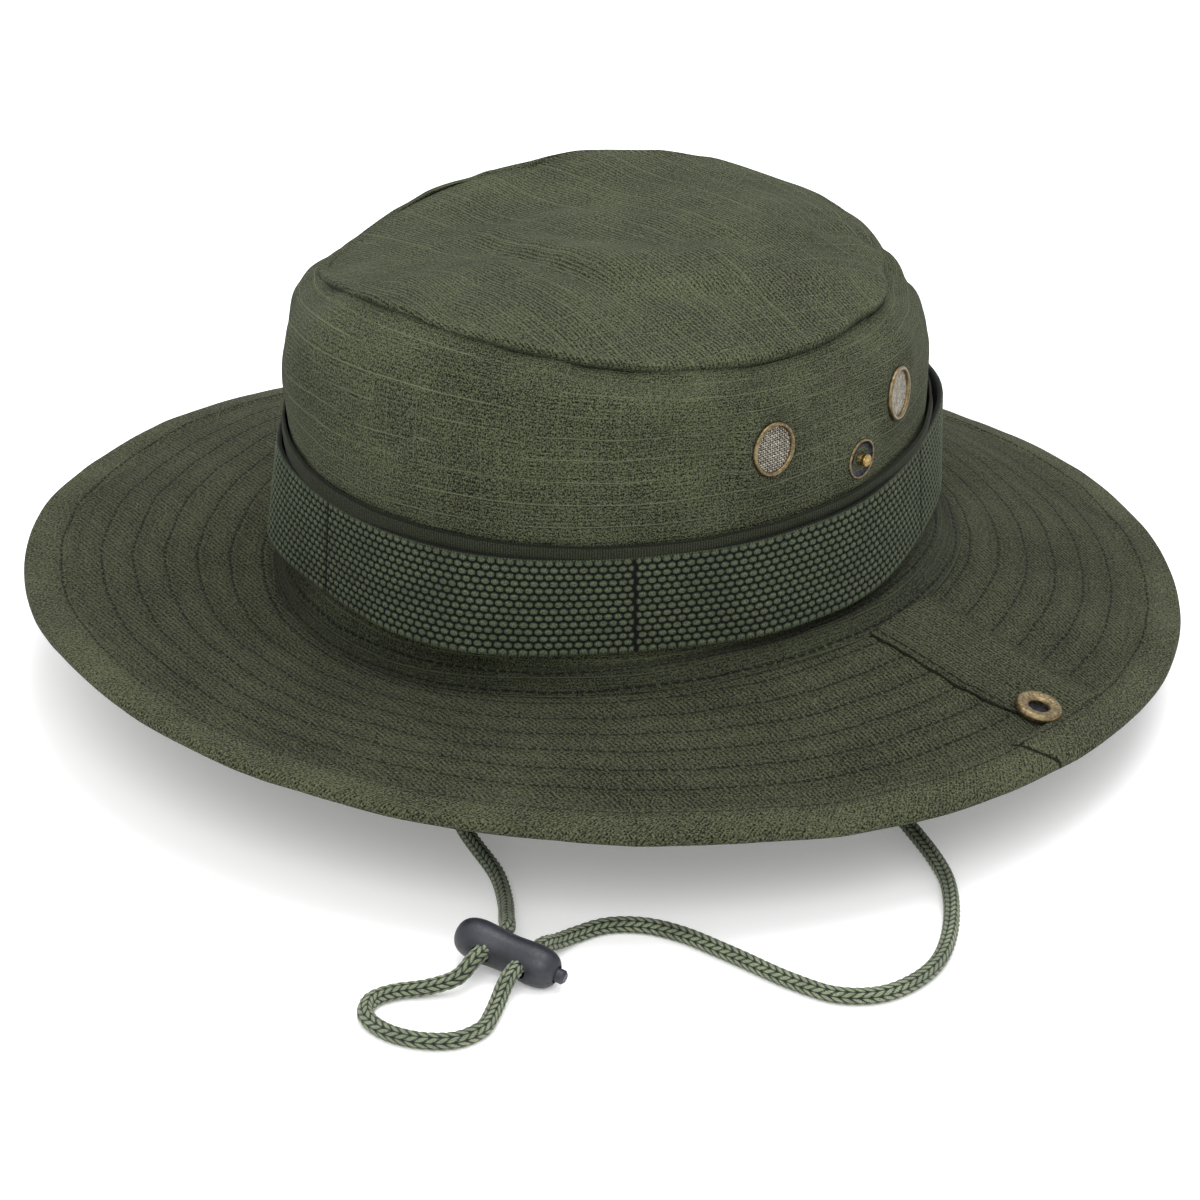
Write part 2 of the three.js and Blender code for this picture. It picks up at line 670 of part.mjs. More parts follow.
const layers = [
  ["brim_upper", ply(0, PLY, HEM), BRIM_CLOTH],
  ["brim_stiffener", ply(CORE_TOP, CORE, HEM), STIFFENER],
  ["brim_lower", ply(LOWER_TOP, PLY, HEM), BRIM_CLOTH],
  ["brim_binding", binding(), BRIM_CLOTH],
];
for (const [name, geometry, material] of layers) {
  const [main, flap] = split(geometry);
  add(name, main, material);
  add(`${name}_flap`, cut(flap, [capHole]), material);
}
add("snap_patch", cut(patch(), [capHole]), BRIM_CLOTH);
add("snap_socket", socket(), BRASS, SOCKET_FRAME);
add("snap_cap", cap(), BRASS, SOCKET_FRAME);
add("snap_stud", stud(), DARK_METAL, STUD_FRAME);
add("snap_stud_back", studBack(), BRASS, STUD_FRAME);

VENT_FRAMES.forEach((frame, i) => {
  add(`vent_ring_${i + 1}`, ventRing(VENTS[i].turn), BRASS, frame);
  add(`vent_mesh_${i + 1}`, ventMesh(), WIRE, frame);
  add(`vent_washer_${i + 1}`, ventWasher(), BRASS, frame);
});

add("cord_anchor_right", anchor(-ANCHOR_X), TAPE);
add("cord_anchor_left", anchor(ANCHOR_X), TAPE);
add("chin_cord_right", tube(RIGHT_STRAND, 28), CORD_FIBRE);
add("chin_cord_loop", tube(LOOP, 22), CORD_FIBRE);
add("chin_cord_left", tube(LEFT_STRAND, 30), CORD_FIBRE);
add("toggle_body", toggleBody(), TOGGLE_PLASTIC, TOGGLE_FRAME);
add("toggle_plunger", plunger(), TOGGLE_PLASTIC, TOGGLE_FRAME);
add("toggle_spring", spring(), SPRING_STEEL, TOGGLE_FRAME);

export default hat;
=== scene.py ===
"""Boonie hat on a pale floor. CAD pieces are replaced by detailed cloth, cord and metal in metres."""
import math

import bmesh
import bpy
import numpy as np
from mathutils import Matrix, Vector, noise


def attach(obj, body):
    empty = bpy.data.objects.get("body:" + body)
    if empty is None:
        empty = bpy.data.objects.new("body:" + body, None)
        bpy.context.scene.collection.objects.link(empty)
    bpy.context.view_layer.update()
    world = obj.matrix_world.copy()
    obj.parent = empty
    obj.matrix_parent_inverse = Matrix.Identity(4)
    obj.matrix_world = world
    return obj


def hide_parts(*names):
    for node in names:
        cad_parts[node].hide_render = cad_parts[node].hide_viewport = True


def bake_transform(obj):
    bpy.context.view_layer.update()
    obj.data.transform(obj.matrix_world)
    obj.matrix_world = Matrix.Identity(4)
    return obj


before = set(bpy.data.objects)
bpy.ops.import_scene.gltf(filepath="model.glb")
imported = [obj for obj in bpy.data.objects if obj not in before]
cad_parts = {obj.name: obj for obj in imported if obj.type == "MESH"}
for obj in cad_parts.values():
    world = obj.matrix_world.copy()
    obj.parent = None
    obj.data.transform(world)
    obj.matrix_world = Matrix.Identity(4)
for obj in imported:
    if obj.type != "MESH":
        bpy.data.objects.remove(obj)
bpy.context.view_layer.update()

# ---------- Driving dimensions, in millimetres ----------
MM = 0.001
UP = np.array([0, 0, 1.0])
CLOTH = 1.1
FLOOR = -40

# Ovals round the hat: half-axes, centre, mean height, and waves as (lobes, height, crest direction).
SEAM_WAVES = ((1, 4.4, 100), (2, 2.9, -28))
BAND_WAVES = ((1, 3.2, 103),)
TOP_WAVES = ((1, 2.6, -80), (2, 4.5, -80), (3, 3, 12))
SHOULDER_WAVES = ((1, 2.2, -70), (2, 3.6, -76), (3, 1.8, 13))
EDGE_WAVES = ((1, 6, -117), (2, 1.6, 66))
SEAM = (92.2, 97.8, 3.6, 1.5, 0.3, SEAM_WAVES)
FLARE = (87.5, 94.5, 2, 1, 4.2, SEAM_WAVES)
BAND_FOOT = (83.3, 91, 0.6, 0.4, 10, BAND_WAVES)
BAND_HEAD = (82.8, 91, 0.6, 0.4, 36.4, BAND_WAVES)
WALL_MID = (83.2, 93, 0.6, 0, 55, ((1, 2, 20), (2, 1.6, 95)))
SHOULDER = (82.4, 89.5, 0.6, -0.5, 71.2, SHOULDER_WAVES)
TOP_EDGE = (74, 79, 1, 0, 79.5, TOP_WAVES)
EDGE = (158, 159, 0, 0, -10.3, EDGE_WAVES)
DOME_RISE = 7.5
DOME_LEAN = 5.72  # the dome is higher on the snap side

BRIM_THICK = 1.8
BINDING_WIDTH = 10.5
BINDING_CLOTH = 0.55
STITCH_PITCH = 8

BAND_WIDTH = 25.6
BAND_MIDDLE = 23.2  # height of its middle
BAND_CLOTH = 1.3
BAND_BOW = 3.2
TACKS = (-107, -47, 19, 85, 145, 205)
CELL_WIDTH = 2.5
CELL_ROWS = 14
TAPE_LAP = 1.5  # how far the tape goes down behind the webbing
TAPE_TOP_SHADE = 6.2  # painted shade line just under the tape's folded upper edge, in v from its lower edge
SLUB_PITCH = 5.2


# ---------- Shape helpers ----------
def wave(waves, t):
    return sum(h * np.cos(n * (t - math.radians(crest))) for n, h, crest in waves)


def on_oval(oval, t):
    a, b, x, y, z, waves = oval
    return np.stack([x + a * np.cos(t), y + b * np.sin(t), z + wave(waves, t)], -1)


def outward(oval, t):
    return unit(np.stack([np.cos(t) / oval[0], np.sin(t) / oval[1], np.zeros_like(t)], -1))


def around(count):
    return np.linspace(0, 2 * math.pi, count, endpoint=False)


def smoothstep(low, high, x):
    f = np.clip((x - low) / (high - low), 0, 1)
    return f * f * (3 - 2 * f)


def angle_from(t, direction):
    """Degrees from a direction, from -180 to 180."""
    return (np.degrees(t) - direction + 180) % 360 - 180


def bell(x, width):
    """1 at 0, falling to 0 over about width each side."""
    return np.exp(-((x / width) ** 2))


def bump(t, direction, width):
    """1 in a direction, falling to 0 over about width degrees each side."""
    return bell(angle_from(t, direction), width)


def unit(vectors):
    return vectors / np.linalg.norm(vectors, axis=-1, keepdims=True)


def spline(rows, at):
    """Catmull-Rom through rows, an array (rows, ..., 3), sampled at fractional row numbers."""
    rows = np.concatenate([2 * rows[:1] - rows[1:2], rows, 2 * rows[-1:] - rows[-2:-1]])
    i = np.clip(np.floor(at).astype(int), 0, len(rows) - 4)
    f = (at - i).reshape((-1,) + (1,) * (rows.ndim - 1))
    p0, p1, p2, p3 = rows[i], rows[i + 1], rows[i + 2], rows[i + 3]
    return p1 + 0.5 * f * (p2 - p0 + f * (2 * p0 - 5 * p1 + 4 * p2 - p3 + f * (3 * (p1 - p2) + p3 - p0)))


def rough(points, scale, octaves=2, seed=0):
    """Smooth noise from -1 to 1 at points in millimetres, with features of about scale."""
    shift = Vector((17.3, 5.1, 9.7)) * (seed + 1)
    flat = points.reshape(-1, 3) / scale
    values = [noise.fractal(Vector(p) + shift, 1.0, 2.0, octaves) for p in flat]
    return np.array(values).reshape(points.shape[:-1])


def normals(grid):
    """Unit normals of a grid closed along its first direction."""
    du = np.roll(grid, -1, 0) - np.roll(grid, 1, 0)
    dv = np.gradient(grid, axis=1)
    n = np.cross(du, dv)
    return n / np.maximum(np.linalg.norm(n, axis=-1, keepdims=True), 1e-9)


# ---------- Mesh helpers ----------
def add_object(name, data):
    thing = bpy.data.objects.new(name, data)
    bpy.context.scene.collection.objects.link(thing)
    return thing


def make_object(name, vertices, faces, material=None, uvs=None):
    """A mesh object from millimetres; uvs maps a layer name to one (u, v) per face corner."""
    mesh = bpy.data.meshes.new(name)
    mesh.from_pydata((np.asarray(vertices, float) * MM).tolist(), [], [list(f) for f in faces])
    for layer, values in (uvs or {}).items():
        data = mesh.uv_layers.new(name=layer).data
        data.foreach_set("uv", np.asarray(values, np.float32).ravel())
    mesh.polygons.foreach_set("use_smooth", [True] * len(mesh.polygons))
    mesh.update()
    thing = add_object(name, mesh)
    if material:
        mesh.materials.append(material)
    return thing


def grid_object(name, grid, material, uvs=None, loop=False, flip=False):
    """Faces over a grid (around, across, 3) closed round the hat, and across it too if loop is set."""
    count, across = grid.shape[:2]
    i = np.arange(count)[:, None]
    j = np.arange(across if loop else across - 1)[None, :]
    i2 = (i + 1) % count
    j2 = (j + 1) % across
    corners = [(i, j), (i + 1, j), (i + 1, j + 1), (i, j + 1)]
    ids = [i * across + j, i2 * across + j, i2 * across + j2, i * across + j2]
    faces = np.stack([np.broadcast_to(k, (count, j.size)) for k in ids], -1).reshape(-1, 4)
    layers = {}
    for layer, values in (uvs or {}).items():
        at = [values[np.broadcast_arrays(a, b)[0], np.broadcast_arrays(a, b)[1]] for a, b in corners]
        at = np.stack(at, 2).reshape(-1, 4, 2)
        layers[layer] = at[:, ::-1] if flip else at
    return make_object(name, grid.reshape(-1, 3), faces[:, ::-1] if flip else faces, material, layers)


def wrap_uv(count, length, widths):
    """Layer "wrap": u round the hat and v across it, both in millimetres."""
    u = np.linspace(0, length, count + 1)[:, None]
    v = np.asarray(widths)[None, :]
    return np.stack(np.broadcast_arrays(u, v), -1)


def band_object(name, grid, material, widths, length, flip=False):
    """A closed band round the hat with its layer "wrap"."""
    uvs = {"wrap": wrap_uv(len(grid), length, widths)}
    return grid_object(name, grid, material, uvs, loop=True, flip=flip)


def widths_of(grid, last):
    """Mean distance of each row from the first, across the cloth, and last more for the closing row."""
    run = np.linalg.norm(np.diff(grid, axis=1), axis=2).mean(0)
    return np.concatenate([[0], np.cumsum(run), [run.sum() + last]])


def closed(values):
    """Repeats the first column after the last, for face corners that wrap round."""
    return np.concatenate([values, values[:1]], 0)


def lathe(name, profile, material, place, segments=96, knurl=None):
    """Turns a closed profile of (radius, height) about Z and puts it in place."""
    profile = np.array(profile, float)
    turn = around(segments)
    r = np.repeat(profile[None, :, 0], segments, 0)
    z = np.repeat(profile[None, :, 1], segments, 0)
    if knurl:
        z = z + knurl(turn[:, None], r, z)
    grid = np.stack([r * np.cos(turn)[:, None], r * np.sin(turn)[:, None], z], -1)
    thing = grid_object(name, grid, material, loop=True)
    shape_up(thing)
    thing.data.transform(place)
    return thing


def shape_up(thing):
    """Merges the points on the axis and turns the faces outwards."""
    made = bmesh.new()
    made.from_mesh(thing.data)
    bmesh.ops.remove_doubles(made, verts=made.verts, dist=1e-7)
    bmesh.ops.dissolve_degenerate(made, dist=1e-8, edges=made.edges)
    bmesh.ops.recalc_face_normals(made, faces=made.faces)
    made.to_mesh(thing.data)
    made.free()


def hand_over(thing, slot, *nodes, body="hat"):
    """Gives a piece its body and hides the CAD nodes it replaces; slot is not used."""
    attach(thing, body)
    if nodes:
        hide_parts(*nodes)


def join(name, things):
    """One object from several with the same materials."""
    first = things[0]
    with bpy.context.temp_override(active_object=first, selected_editable_objects=things, object=first):
        bpy.ops.object.join()
    first.name = name
    return first


# ---------- Material helpers ----------
class Shader:
    """Builds a node material from short calls."""

    def __init__(self, name):
        self.material = bpy.data.materials.new(name)
        self.material.use_nodes = True
        self.tree = self.material.node_tree
        self.tree.nodes.clear()
        self.output = self.node("ShaderNodeOutputMaterial")
        self.surface = self.node("ShaderNodeBsdfPrincipled")
        self.tree.links.new(self.surface.outputs[0], self.output.inputs["Surface"])

    def node(self, kind, **settings):
        made = self.tree.nodes.new(kind)
        for key, value in settings.items():
            setattr(made, key, value)
        return made

    def put(self, socket, value):
        if hasattr(value, "is_output"):
            self.tree.links.new(value, socket)
        else:
            socket.default_value = value

    def math(self, operation, a, b=0.0, c=0.0):
        made = self.node("ShaderNodeMath", operation=operation)
        for socket, value in zip(made.inputs, (a, b, c)):
            self.put(socket, value)
        return made.outputs[0]

    def times(self, a, b):
        return self.math("MULTIPLY", a, b)

    def plus(self, a, b):
        return self.math("ADD", a, b)

    def minus(self, a, b):
        return self.math("SUBTRACT", a, b)

    def times_plus(self, a, b, c):
        return self.math("MULTIPLY_ADD", a, b, c)

    def uv(self, layer):
        return self.node("ShaderNodeUVMap", uv_map=layer).outputs[0]

    def split(self, vector):
        made = self.node("ShaderNodeSeparateXYZ")
        self.put(made.inputs[0], vector)
        return made.outputs[0], made.outputs[1], made.outputs[2]

    def scaled(self, vector, scale, turn=0.0):
        made = self.node("ShaderNodeMapping")
        self.put(made.inputs["Vector"], vector)
        made.inputs["Rotation"].default_value = (0, 0, math.radians(turn))
        made.inputs["Scale"].default_value = scale
        return made.outputs[0]

    def noise(self, vector, scale=1.0, detail=2.0, roughness=0.5):
        made = self.node("ShaderNodeTexNoise")
        self.put(made.inputs["Vector"], vector)
        made.inputs["Scale"].default_value = scale
        made.inputs["Detail"].default_value = detail
        made.inputs["Roughness"].default_value = roughness
        return made.outputs["Fac"]

    def ramp(self, value, low, high, start=0.0, end=1.0):
        made = self.node("ShaderNodeMapRange", interpolation_type="SMOOTHSTEP")
        for socket, part in zip(made.inputs, (value, low, high, start, end)):
            self.put(socket, part)
        return made.outputs[0]

    def mix(self, factor, a, b):
        made = self.node("ShaderNodeMix", data_type="RGBA")
        self.put(made.inputs[0], factor)
        self.put(made.inputs[6], a)
        self.put(made.inputs[7], b)
        return made.outputs[2]

    def bump(self, height, distance):
        made = self.node("ShaderNodeBump")
        self.put(made.inputs["Height"], height)
        made.inputs["Distance"].default_value = distance
        self.tree.links.new(made.outputs[0], self.surface.inputs["Normal"])

    def set(self, **values):
        for key, value in values.items():
            self.put(self.surface.inputs[key.replace("_", " ")], value)


def rgb(r, g, b):
    """Linear colour from 8-bit sRGB values."""
    linear = [((c / 255 + 0.055) / 1.055) ** 2.4 if c > 10 else c / 3295 for c in (r, g, b)]
    return (*linear, 1.0)


def line_mask(s, value, pitch, width):
    """1 on lines each pitch apart along value, 0 off them; width is the line's half width."""
    off = s.math("PINGPONG", value, pitch / 2)
    return s.ramp(off, 0.0, width, 1.0, 0.0)


# Near-black of the stitching thread; it is also mixed into the cloth as painted shade.
THREAD_AND_SHADE = rgb(10, 12, 7)
SLUB = rgb(104, 110, 84)


def cloth_material(
    name, dark, light, turn=0.0, layer="wrap", slubs=(0.9, 0.4), rib=0.9, ribbing=0.04, grain=1.0
):
    """Fine-ribbed ripstop cotton.

    rib is its ribs' pitch, grain its fineness and slubs the strength of its two sets of lines.
    """
    s = Shader(name)
    turned = s.scaled(s.uv(layer), (1, 1, 1), turn)
    u, v, _ = s.split(turned)
    warp = s.noise(s.scaled(turned, (1.0, 1.5, 1)), 2.1 * grain, 0.0)
    weft = s.noise(s.scaled(turned, (1.5, 1.0, 1)), 2.0 * grain, 0.0)
    speck = s.noise(turned, 0.9, 2.0, 0.6)
    patches = s.noise(turned, 0.035, 3.0, 0.6)
    sway = s.times_plus(s.noise(turned, 0.02, 0.0), 3.0, -1.5)
    row = s.plus(v, sway)
    ribs = s.math("SINE", s.times(s.times_plus(speck, 0.5, row), 2 * math.pi / rib))
    along = line_mask(s, row, SLUB_PITCH, 0.26)
    across = line_mask(s, s.plus(u, sway), SLUB_PITCH, 0.24)
    broken = s.ramp(s.noise(s.scaled(turned, (0.03, 0.3, 1)), 1.0, 2.0), 0.32, 0.6)
    broken_across = s.ramp(s.noise(s.scaled(turned, (0.3, 0.03, 1)), 1.0, 2.0), 0.36, 0.65)
    along = s.times(s.times(along, broken), slubs[0])
    across = s.times(s.times(across, broken_across), slubs[1])
    lines = s.math("MAXIMUM", along, across)
    threads = s.times_plus(warp, 0.7, s.times(weft, 0.5))
    fine = s.times_plus(ribs, ribbing, s.times_plus(speck, 0.45, threads))
    tone = s.ramp(s.times_plus(patches, 0.3, fine), 0.7, 1.3)
    colour = s.mix(lines, s.mix(tone, dark, light), SLUB)
    height = s.times_plus(ribs, ribbing, s.times(s.plus(warp, weft), 0.28))
    height = s.times_plus(lines, 0.3, height)
    return s, colour, height


def sewn(s, colour, height, thread_and_shade, first, pitch, last):
    """Adds rows of stitching across layer "wrap", each in a groove with small puckers."""
    uv = s.uv("wrap")
    u, v, _ = s.split(uv)
    wander = s.times_plus(s.noise(s.scaled(uv, (0.04, 0.02, 1)), 1.0, 2.0), 2.4, -1.2)
    v = s.plus(v, wander)
    inside = s.times(s.math("GREATER_THAN", v, first - 2), s.math("LESS_THAN", v, last + 2))
    v = s.minus(v, first)
    groove = s.times(line_mask(s, v, pitch, 0.85), inside)
    line = s.times(line_mask(s, v, pitch, 0.5), inside)
    stitch = s.math("GREATER_THAN", s.math("PINGPONG", u, 1.5), 0.45)
    line = s.times(line, stitch)
    near = s.times(line_mask(s, v, pitch, 3.6), inside)
    pucker = s.times(near, s.noise(s.scaled(uv, (0.4, 0.12, 1)), 1.0, 2.0, 0.6))
    # Painted shade in the puckers' hollows beside each row.
    shade = s.times(s.ramp(pucker, 0.5, 0.2), near)
    colour = s.mix(s.times(shade, 0.3), colour, thread_and_shade)
    colour = s.mix(s.times(line, 0.95), colour, thread_and_shade)
    height = s.plus(height, s.times(groove, -0.5))
    return colour, s.plus(height, s.times(pucker, 1.1))


def finish_cloth(s, colour, height):
    s.set(Base_Color=colour, Roughness=0.95, Sheen_Weight=0.02, Specular_IOR_Level=0.1)
    s.bump(height, MM * 1.4)
    return s.material


def plain_cloth(name, dark, light, rows=None, edge=None, lap=None, depth=0.9, **cloth):
    """Ripstop cloth; rows is (first, pitch, last) of its stitching, edge the width of a band of painted
    shade from v = 0 and depth how dark that is.

    lap is (u, slope) of the shaded edge of a lap joint.
    """
    s, colour, height = cloth_material(name, dark, light, **cloth)
    if rows:
        colour, height = sewn(s, colour, height, THREAD_AND_SHADE, *rows)
    if edge:
        v = s.split(s.uv("wrap"))[1]
        # Painted shade: darker towards v = 0, over edge millimetres.
        colour = s.mix(s.ramp(v, edge, 0.4 * edge, 0.0, depth), colour, THREAD_AND_SHADE)
    if lap:
        u, v, _ = s.split(s.uv("wrap"))
        off = s.math("ABSOLUTE", s.minus(s.times_plus(v, -lap[1], u), lap[0]))
        colour = s.mix(s.ramp(off, 0.8, 0.25, 0.0, 0.9), colour, THREAD_AND_SHADE)
    return finish_cloth(s, colour, height)


def webbing_material():
    s = Shader("webbing")
    attribute = s.node("ShaderNodeAttribute", attribute_name="cell").outputs["Fac"]
    uv = s.uv("wrap")
    fibre = s.noise(s.scaled(uv, (5.0, 1.2, 1)), 1.0, 2.0, 0.6)
    patches = s.noise(uv, 0.07, 2.0)
    top = s.mix(s.ramp(fibre, 0.35, 0.7), rgb(38, 46, 32), rgb(98, 108, 82))
    top = s.mix(s.times(s.ramp(patches, 0.4, 0.65), 0.3), top, rgb(40, 47, 36))
    # Near-black where the woven cells dip into the gaps between them: painted shade.
    colour = s.mix(s.ramp(attribute, 0.3, 0.95), rgb(3, 5, 3), top)
    s.set(Base_Color=colour, Roughness=0.8, Sheen_Weight=0.02, Specular_IOR_Level=0.18)
    s.bump(s.times(fibre, 0.3), MM * 0.6)
    return s.material


def tape_material(name, dark, light):
    s = Shader(name)
    uv = s.uv("wrap")
    u, v, _ = s.split(uv)
    ribs = s.math("SINE", s.times(u, 2 * math.pi / 0.7))
    grain = s.noise(uv, 2.2, 3.0)
    tone = s.times_plus(ribs, 0.12, grain)
    colour = s.mix(s.ramp(tone, 0.3, 0.75), dark, light)
    # Painted shade at the lower edge, where the tape comes out from behind the webbing.
    colour = s.mix(s.ramp(v, 1.5, 0.9, 0.0, 0.9), colour, THREAD_AND_SHADE)
    # Painted shade in a line just under the tape's folded upper edge.
    off = s.math("ABSOLUTE", s.minus(v, TAPE_TOP_SHADE))
    colour = s.mix(s.ramp(off, 0.5, 0.2, 0.0, 0.85), colour, THREAD_AND_SHADE)
    s.set(Base_Color=colour, Roughness=0.88, Specular_IOR_Level=0.2)
    s.bump(s.times_plus(ribs, 0.2, grain), MM * 0.25)
    return s.material


def metal_material(name, dark, light, roughness, scale=900.0):
    s = Shader(name)
    place = s.node("ShaderNodeTexCoord").outputs["Object"]
    worn = s.noise(place, scale, 4.0, 0.6)
    fine = s.noise(place, scale * 6, 3.0, 0.7)
    colour = s.mix(s.ramp(worn, 0.38, 0.66), dark, light)
    s.set(Base_Color=colour, Metallic=0.9)
    s.set(Roughness=s.ramp(fine, 0.3, 0.7, roughness - 0.1, roughness + 0.12))
    s.bump(fine, MM * 0.05)
    return s.material


def cord_material():
    s = Shader("cord")
    strand = s.node("ShaderNodeAttribute", attribute_name="cell").outputs["Fac"]
    uv = s.uv("wrap")
    fibre = s.noise(s.scaled(uv, (2.2, 6.0, 1)), 1.0, 2.0, 0.6)
    patches = s.noise(uv, 0.12, 2.0)
    light = s.mix(s.ramp(fibre, 0.3, 0.7), rgb(84, 94, 72), rgb(138, 149, 118))
    light = s.mix(s.times(s.ramp(patches, 0.4, 0.65), 0.35), light, rgb(66, 76, 58))
    # Near-black where the knit's loops dip into the gaps: painted shade.
    colour = s.mix(s.ramp(strand, 0.3, 0.75), rgb(8, 11, 8), light)
    s.set(Base_Color=colour, Roughness=0.7, Sheen_Weight=0.15, Specular_IOR_Level=0.3)
    s.bump(fibre, MM * 0.15)
    return s.material


def plastic_material():
    s = Shader("toggle_plastic")
    place = s.node("ShaderNodeTexCoord").outputs["Object"]
    orange_peel = s.noise(place, 1500.0, 3.0)
    smudge = s.noise(place, 160.0, 3.0)
    s.set(Base_Color=s.mix(s.ramp(smudge, 0.35, 0.7), rgb(20, 22, 28), rgb(32, 35, 44)))
    s.set(Roughness=s.ramp(orange_peel, 0.3, 0.7, 0.4, 0.55), Specular_IOR_Level=0.5)
    s.bump(orange_peel, MM * 0.06)
    return s.material


def floor_material():
    s = Shader("floor")
    place = s.node("ShaderNodeTexCoord").outputs["Object"]
    tone = s.ramp(s.noise(place, 3.0, 2.0), 0.3, 0.7)
    s.set(Base_Color=s.mix(tone, (0.9, 0.9, 0.905, 1), (0.92, 0.92, 0.92, 1)), Roughness=0.8)
    s.set(Specular_IOR_Level=0.1, Emission_Color=(1, 1, 1, 1), Emission_Strength=0.2)
    return s.material


OLIVE = (rgb(11, 13, 8), rgb(91, 96, 72))
# The olive of the brim and its patch is the crown's, darkened though the cloth is the same: painted shade on
# the brim's upward faces.
SHADED_OLIVE = (rgb(10, 11, 7), rgb(77, 80, 59))
BOUND = (rgb(12, 14, 8), rgb(88, 91, 68))
PLAIN_BRIM = {"layer": "plan", "slubs": (0.25, 0.2), "rib": 1.2, "ribbing": 0.08, "grain": 0.75}
# edge=14 with depth=0.5 darkens the wall's foot under the webbing, to 14 mm above the brim seam: painted
# shade.
CROWN = plain_cloth("crown_cloth", *OLIVE, rows=(1.5, 5.5, 7.5), edge=14, depth=0.5)
CROWN_TOP = plain_cloth(
    "crown_top_cloth", *OLIVE, turn=18, layer="plan", slubs=(0.9, 0.7), rib=1.2, ribbing=0.09, grain=0.9
)
BRIM = plain_cloth("brim_cloth", *SHADED_OLIVE, turn=20, rows=(2.5, STITCH_PITCH, 47), **PLAIN_BRIM)
# edge=0.8 darkens the patch's folded front edge: painted shade.
PATCH = plain_cloth("patch_cloth", *SHADED_OLIVE, turn=4, rows=(2.4, 26, 29), edge=0.8, **PLAIN_BRIM)
BINDING = plain_cloth(
    "binding_cloth", *BOUND, turn=52, slubs=(0.35, 0.35), rows=(2.3, 300, 2.3), grain=0.75, lap=(974.3, 0.44)
)
LINING = plain_cloth("lining_cloth", rgb(20, 22, 15), rgb(60, 63, 46), slubs=(0.1, 0.1))
WEBBING = webbing_material()
TAPE = tape_material("tape", rgb(17, 19, 12), rgb(50, 54, 38))
CORD = cord_material()
PLASTIC = plastic_material()
BRASS = metal_material("aged_brass", rgb(94, 82, 58), rgb(130, 115, 85), 0.36)
BLACKED = metal_material("blacked_brass", rgb(22, 21, 26), rgb(46, 44, 52), 0.4)
GOLD = metal_material("stud_brass", rgb(112, 92, 50), rgb(176, 150, 92), 0.3)
WIRE = metal_material("vent_wire", rgb(142, 137, 126), rgb(196, 191, 178), 0.4)
STEEL = metal_material("spring_steel", rgb(140, 140, 142), rgb(200, 200, 202), 0.3)


# ---------- Camera, light and floor ----------
def camera():
    data = bpy.data.cameras.new("camera")
    data.lens = 118.73
    data.sensor_width = 36
    data.clip_end = 60
    thing = add_object("camera", data)
    forward = Vector((-0.5296, 0.729, -0.4337)).normalized()
    right = Vector((0.8054, 0.5926, 0.0126))
    right = (right - forward * right.dot(forward)).normalized()
    up = right.cross(forward)
    turn = Matrix((right, up, -forward)).transposed()
    thing.matrix_world = Matrix.Translation(Vector((0.58026, -0.80055, 0.45446))) @ turn.to_4x4()
    bpy.context.scene.camera = thing


def area_light(name, place, target, size, power):
    data = bpy.data.lights.new(name, "AREA")
    data.shape = "DISK"
    data.size = size
    data.energy = power
    thing = add_object(name, data)
    thing.location = place
    aim = Vector(target) - Vector(place)
    thing.rotation_euler = aim.to_track_quat("-Z", "Y").to_euler()


def studio():
    world = bpy.data.worlds.new("studio")
    world.use_nodes = True
    world.node_tree.nodes["Background"].inputs[0].default_value = (1, 1, 1, 1)
    world.node_tree.nodes["Background"].inputs[1].default_value = 1.05
    bpy.context.scene.world = world
    bpy.context.scene.view_settings.view_transform = "Standard"
    area_light("key", (0.15, 0.25, 1.7), (0, 0, 0), 1.3, 18)
    area_light("front", (0.7, -1.2, 1.3), (0, 0, 0.02), 1.0, 14)
    half = 8000
    corners = [(x * half, y * half, FLOOR) for x, y in ((-1, -1), (1, -1), (1, 1), (-1, 1))]
    floor = make_object("floor", corners, [(0, 1, 2, 3)], floor_material())


camera()
studio()


# ---------- Chin cord and toggle ----------
LIE = FLOOR + 2
TOGGLE = np.array([82.5, -151, -33.5])
TOGGLE_AXIS = np.array([19, 3, -3.2]) / np.linalg.norm([19, 3, -3.2])
CORD_AXIS = np.array([TOGGLE_AXIS[1], -TOGGLE_AXIS[0], 0]) / math.hypot(TOGGLE_AXIS[0], TOGGLE_AXIS[1])
HOLE_OFFSET = 5


def in_hole(side, along):
    return TOGGLE + TOGGLE_AXIS * side * HOLE_OFFSET + CORD_AXIS * along


ROUTE = [
    (-83, 0, -8),
    (-80, -5, -27),
    (-72, -13, -35.5),
    (-60, -24, LIE),
    (-14, -60, LIE),
    (29, -101, LIE),
    (53.4, -117.2, LIE),
    (63.2, -126.8, -37.3),
    (70.6, -136, -35),
    in_hole(-1, -8),
    in_hole(-1, 8),
    (78, -164.8, -35.3),
    (73.4, -170, -37.2),
    (68, -175.4, LIE),
    (65.8, -182.4, LIE),
    (69.6, -188.6, LIE),
    (77.6, -190.9, LIE),
    (86.2, -189, LIE),
    (92.6, -183.8, LIE),
    (94.4, -176.4, LIE),
    (92.2, -169, -37.4),
    in_hole(1, 8),
    in_hole(1, -8),
    (85.6, -135.6, -36.5),
    (86.3, -127.6, -37.8),
    (89.6, -120, LIE),
    (96.6, -114.6, LIE),
    (106, -112.4, LIE),
    (122, -112.9, LIE),
    (140, -114.2, LIE),
    (152, -112.9, LIE),
    (160, -106.5, LIE),
    (163.5, -95, LIE),
    (161.5, -80, LIE),
    (144.5, -51, LIE),
    (116, -28.5, LIE),
    (103, -19.5, -37.2),
    (93, -10.5, -32.5),
    (86, -3.5, -23),
    (83, 0, -8),
]
CORD_RADIUS = 2
REST = FLOOR + 2.15  # the cord's knit stands out a little past its radius
WALES = 4
KNIT_PITCH = 2.3


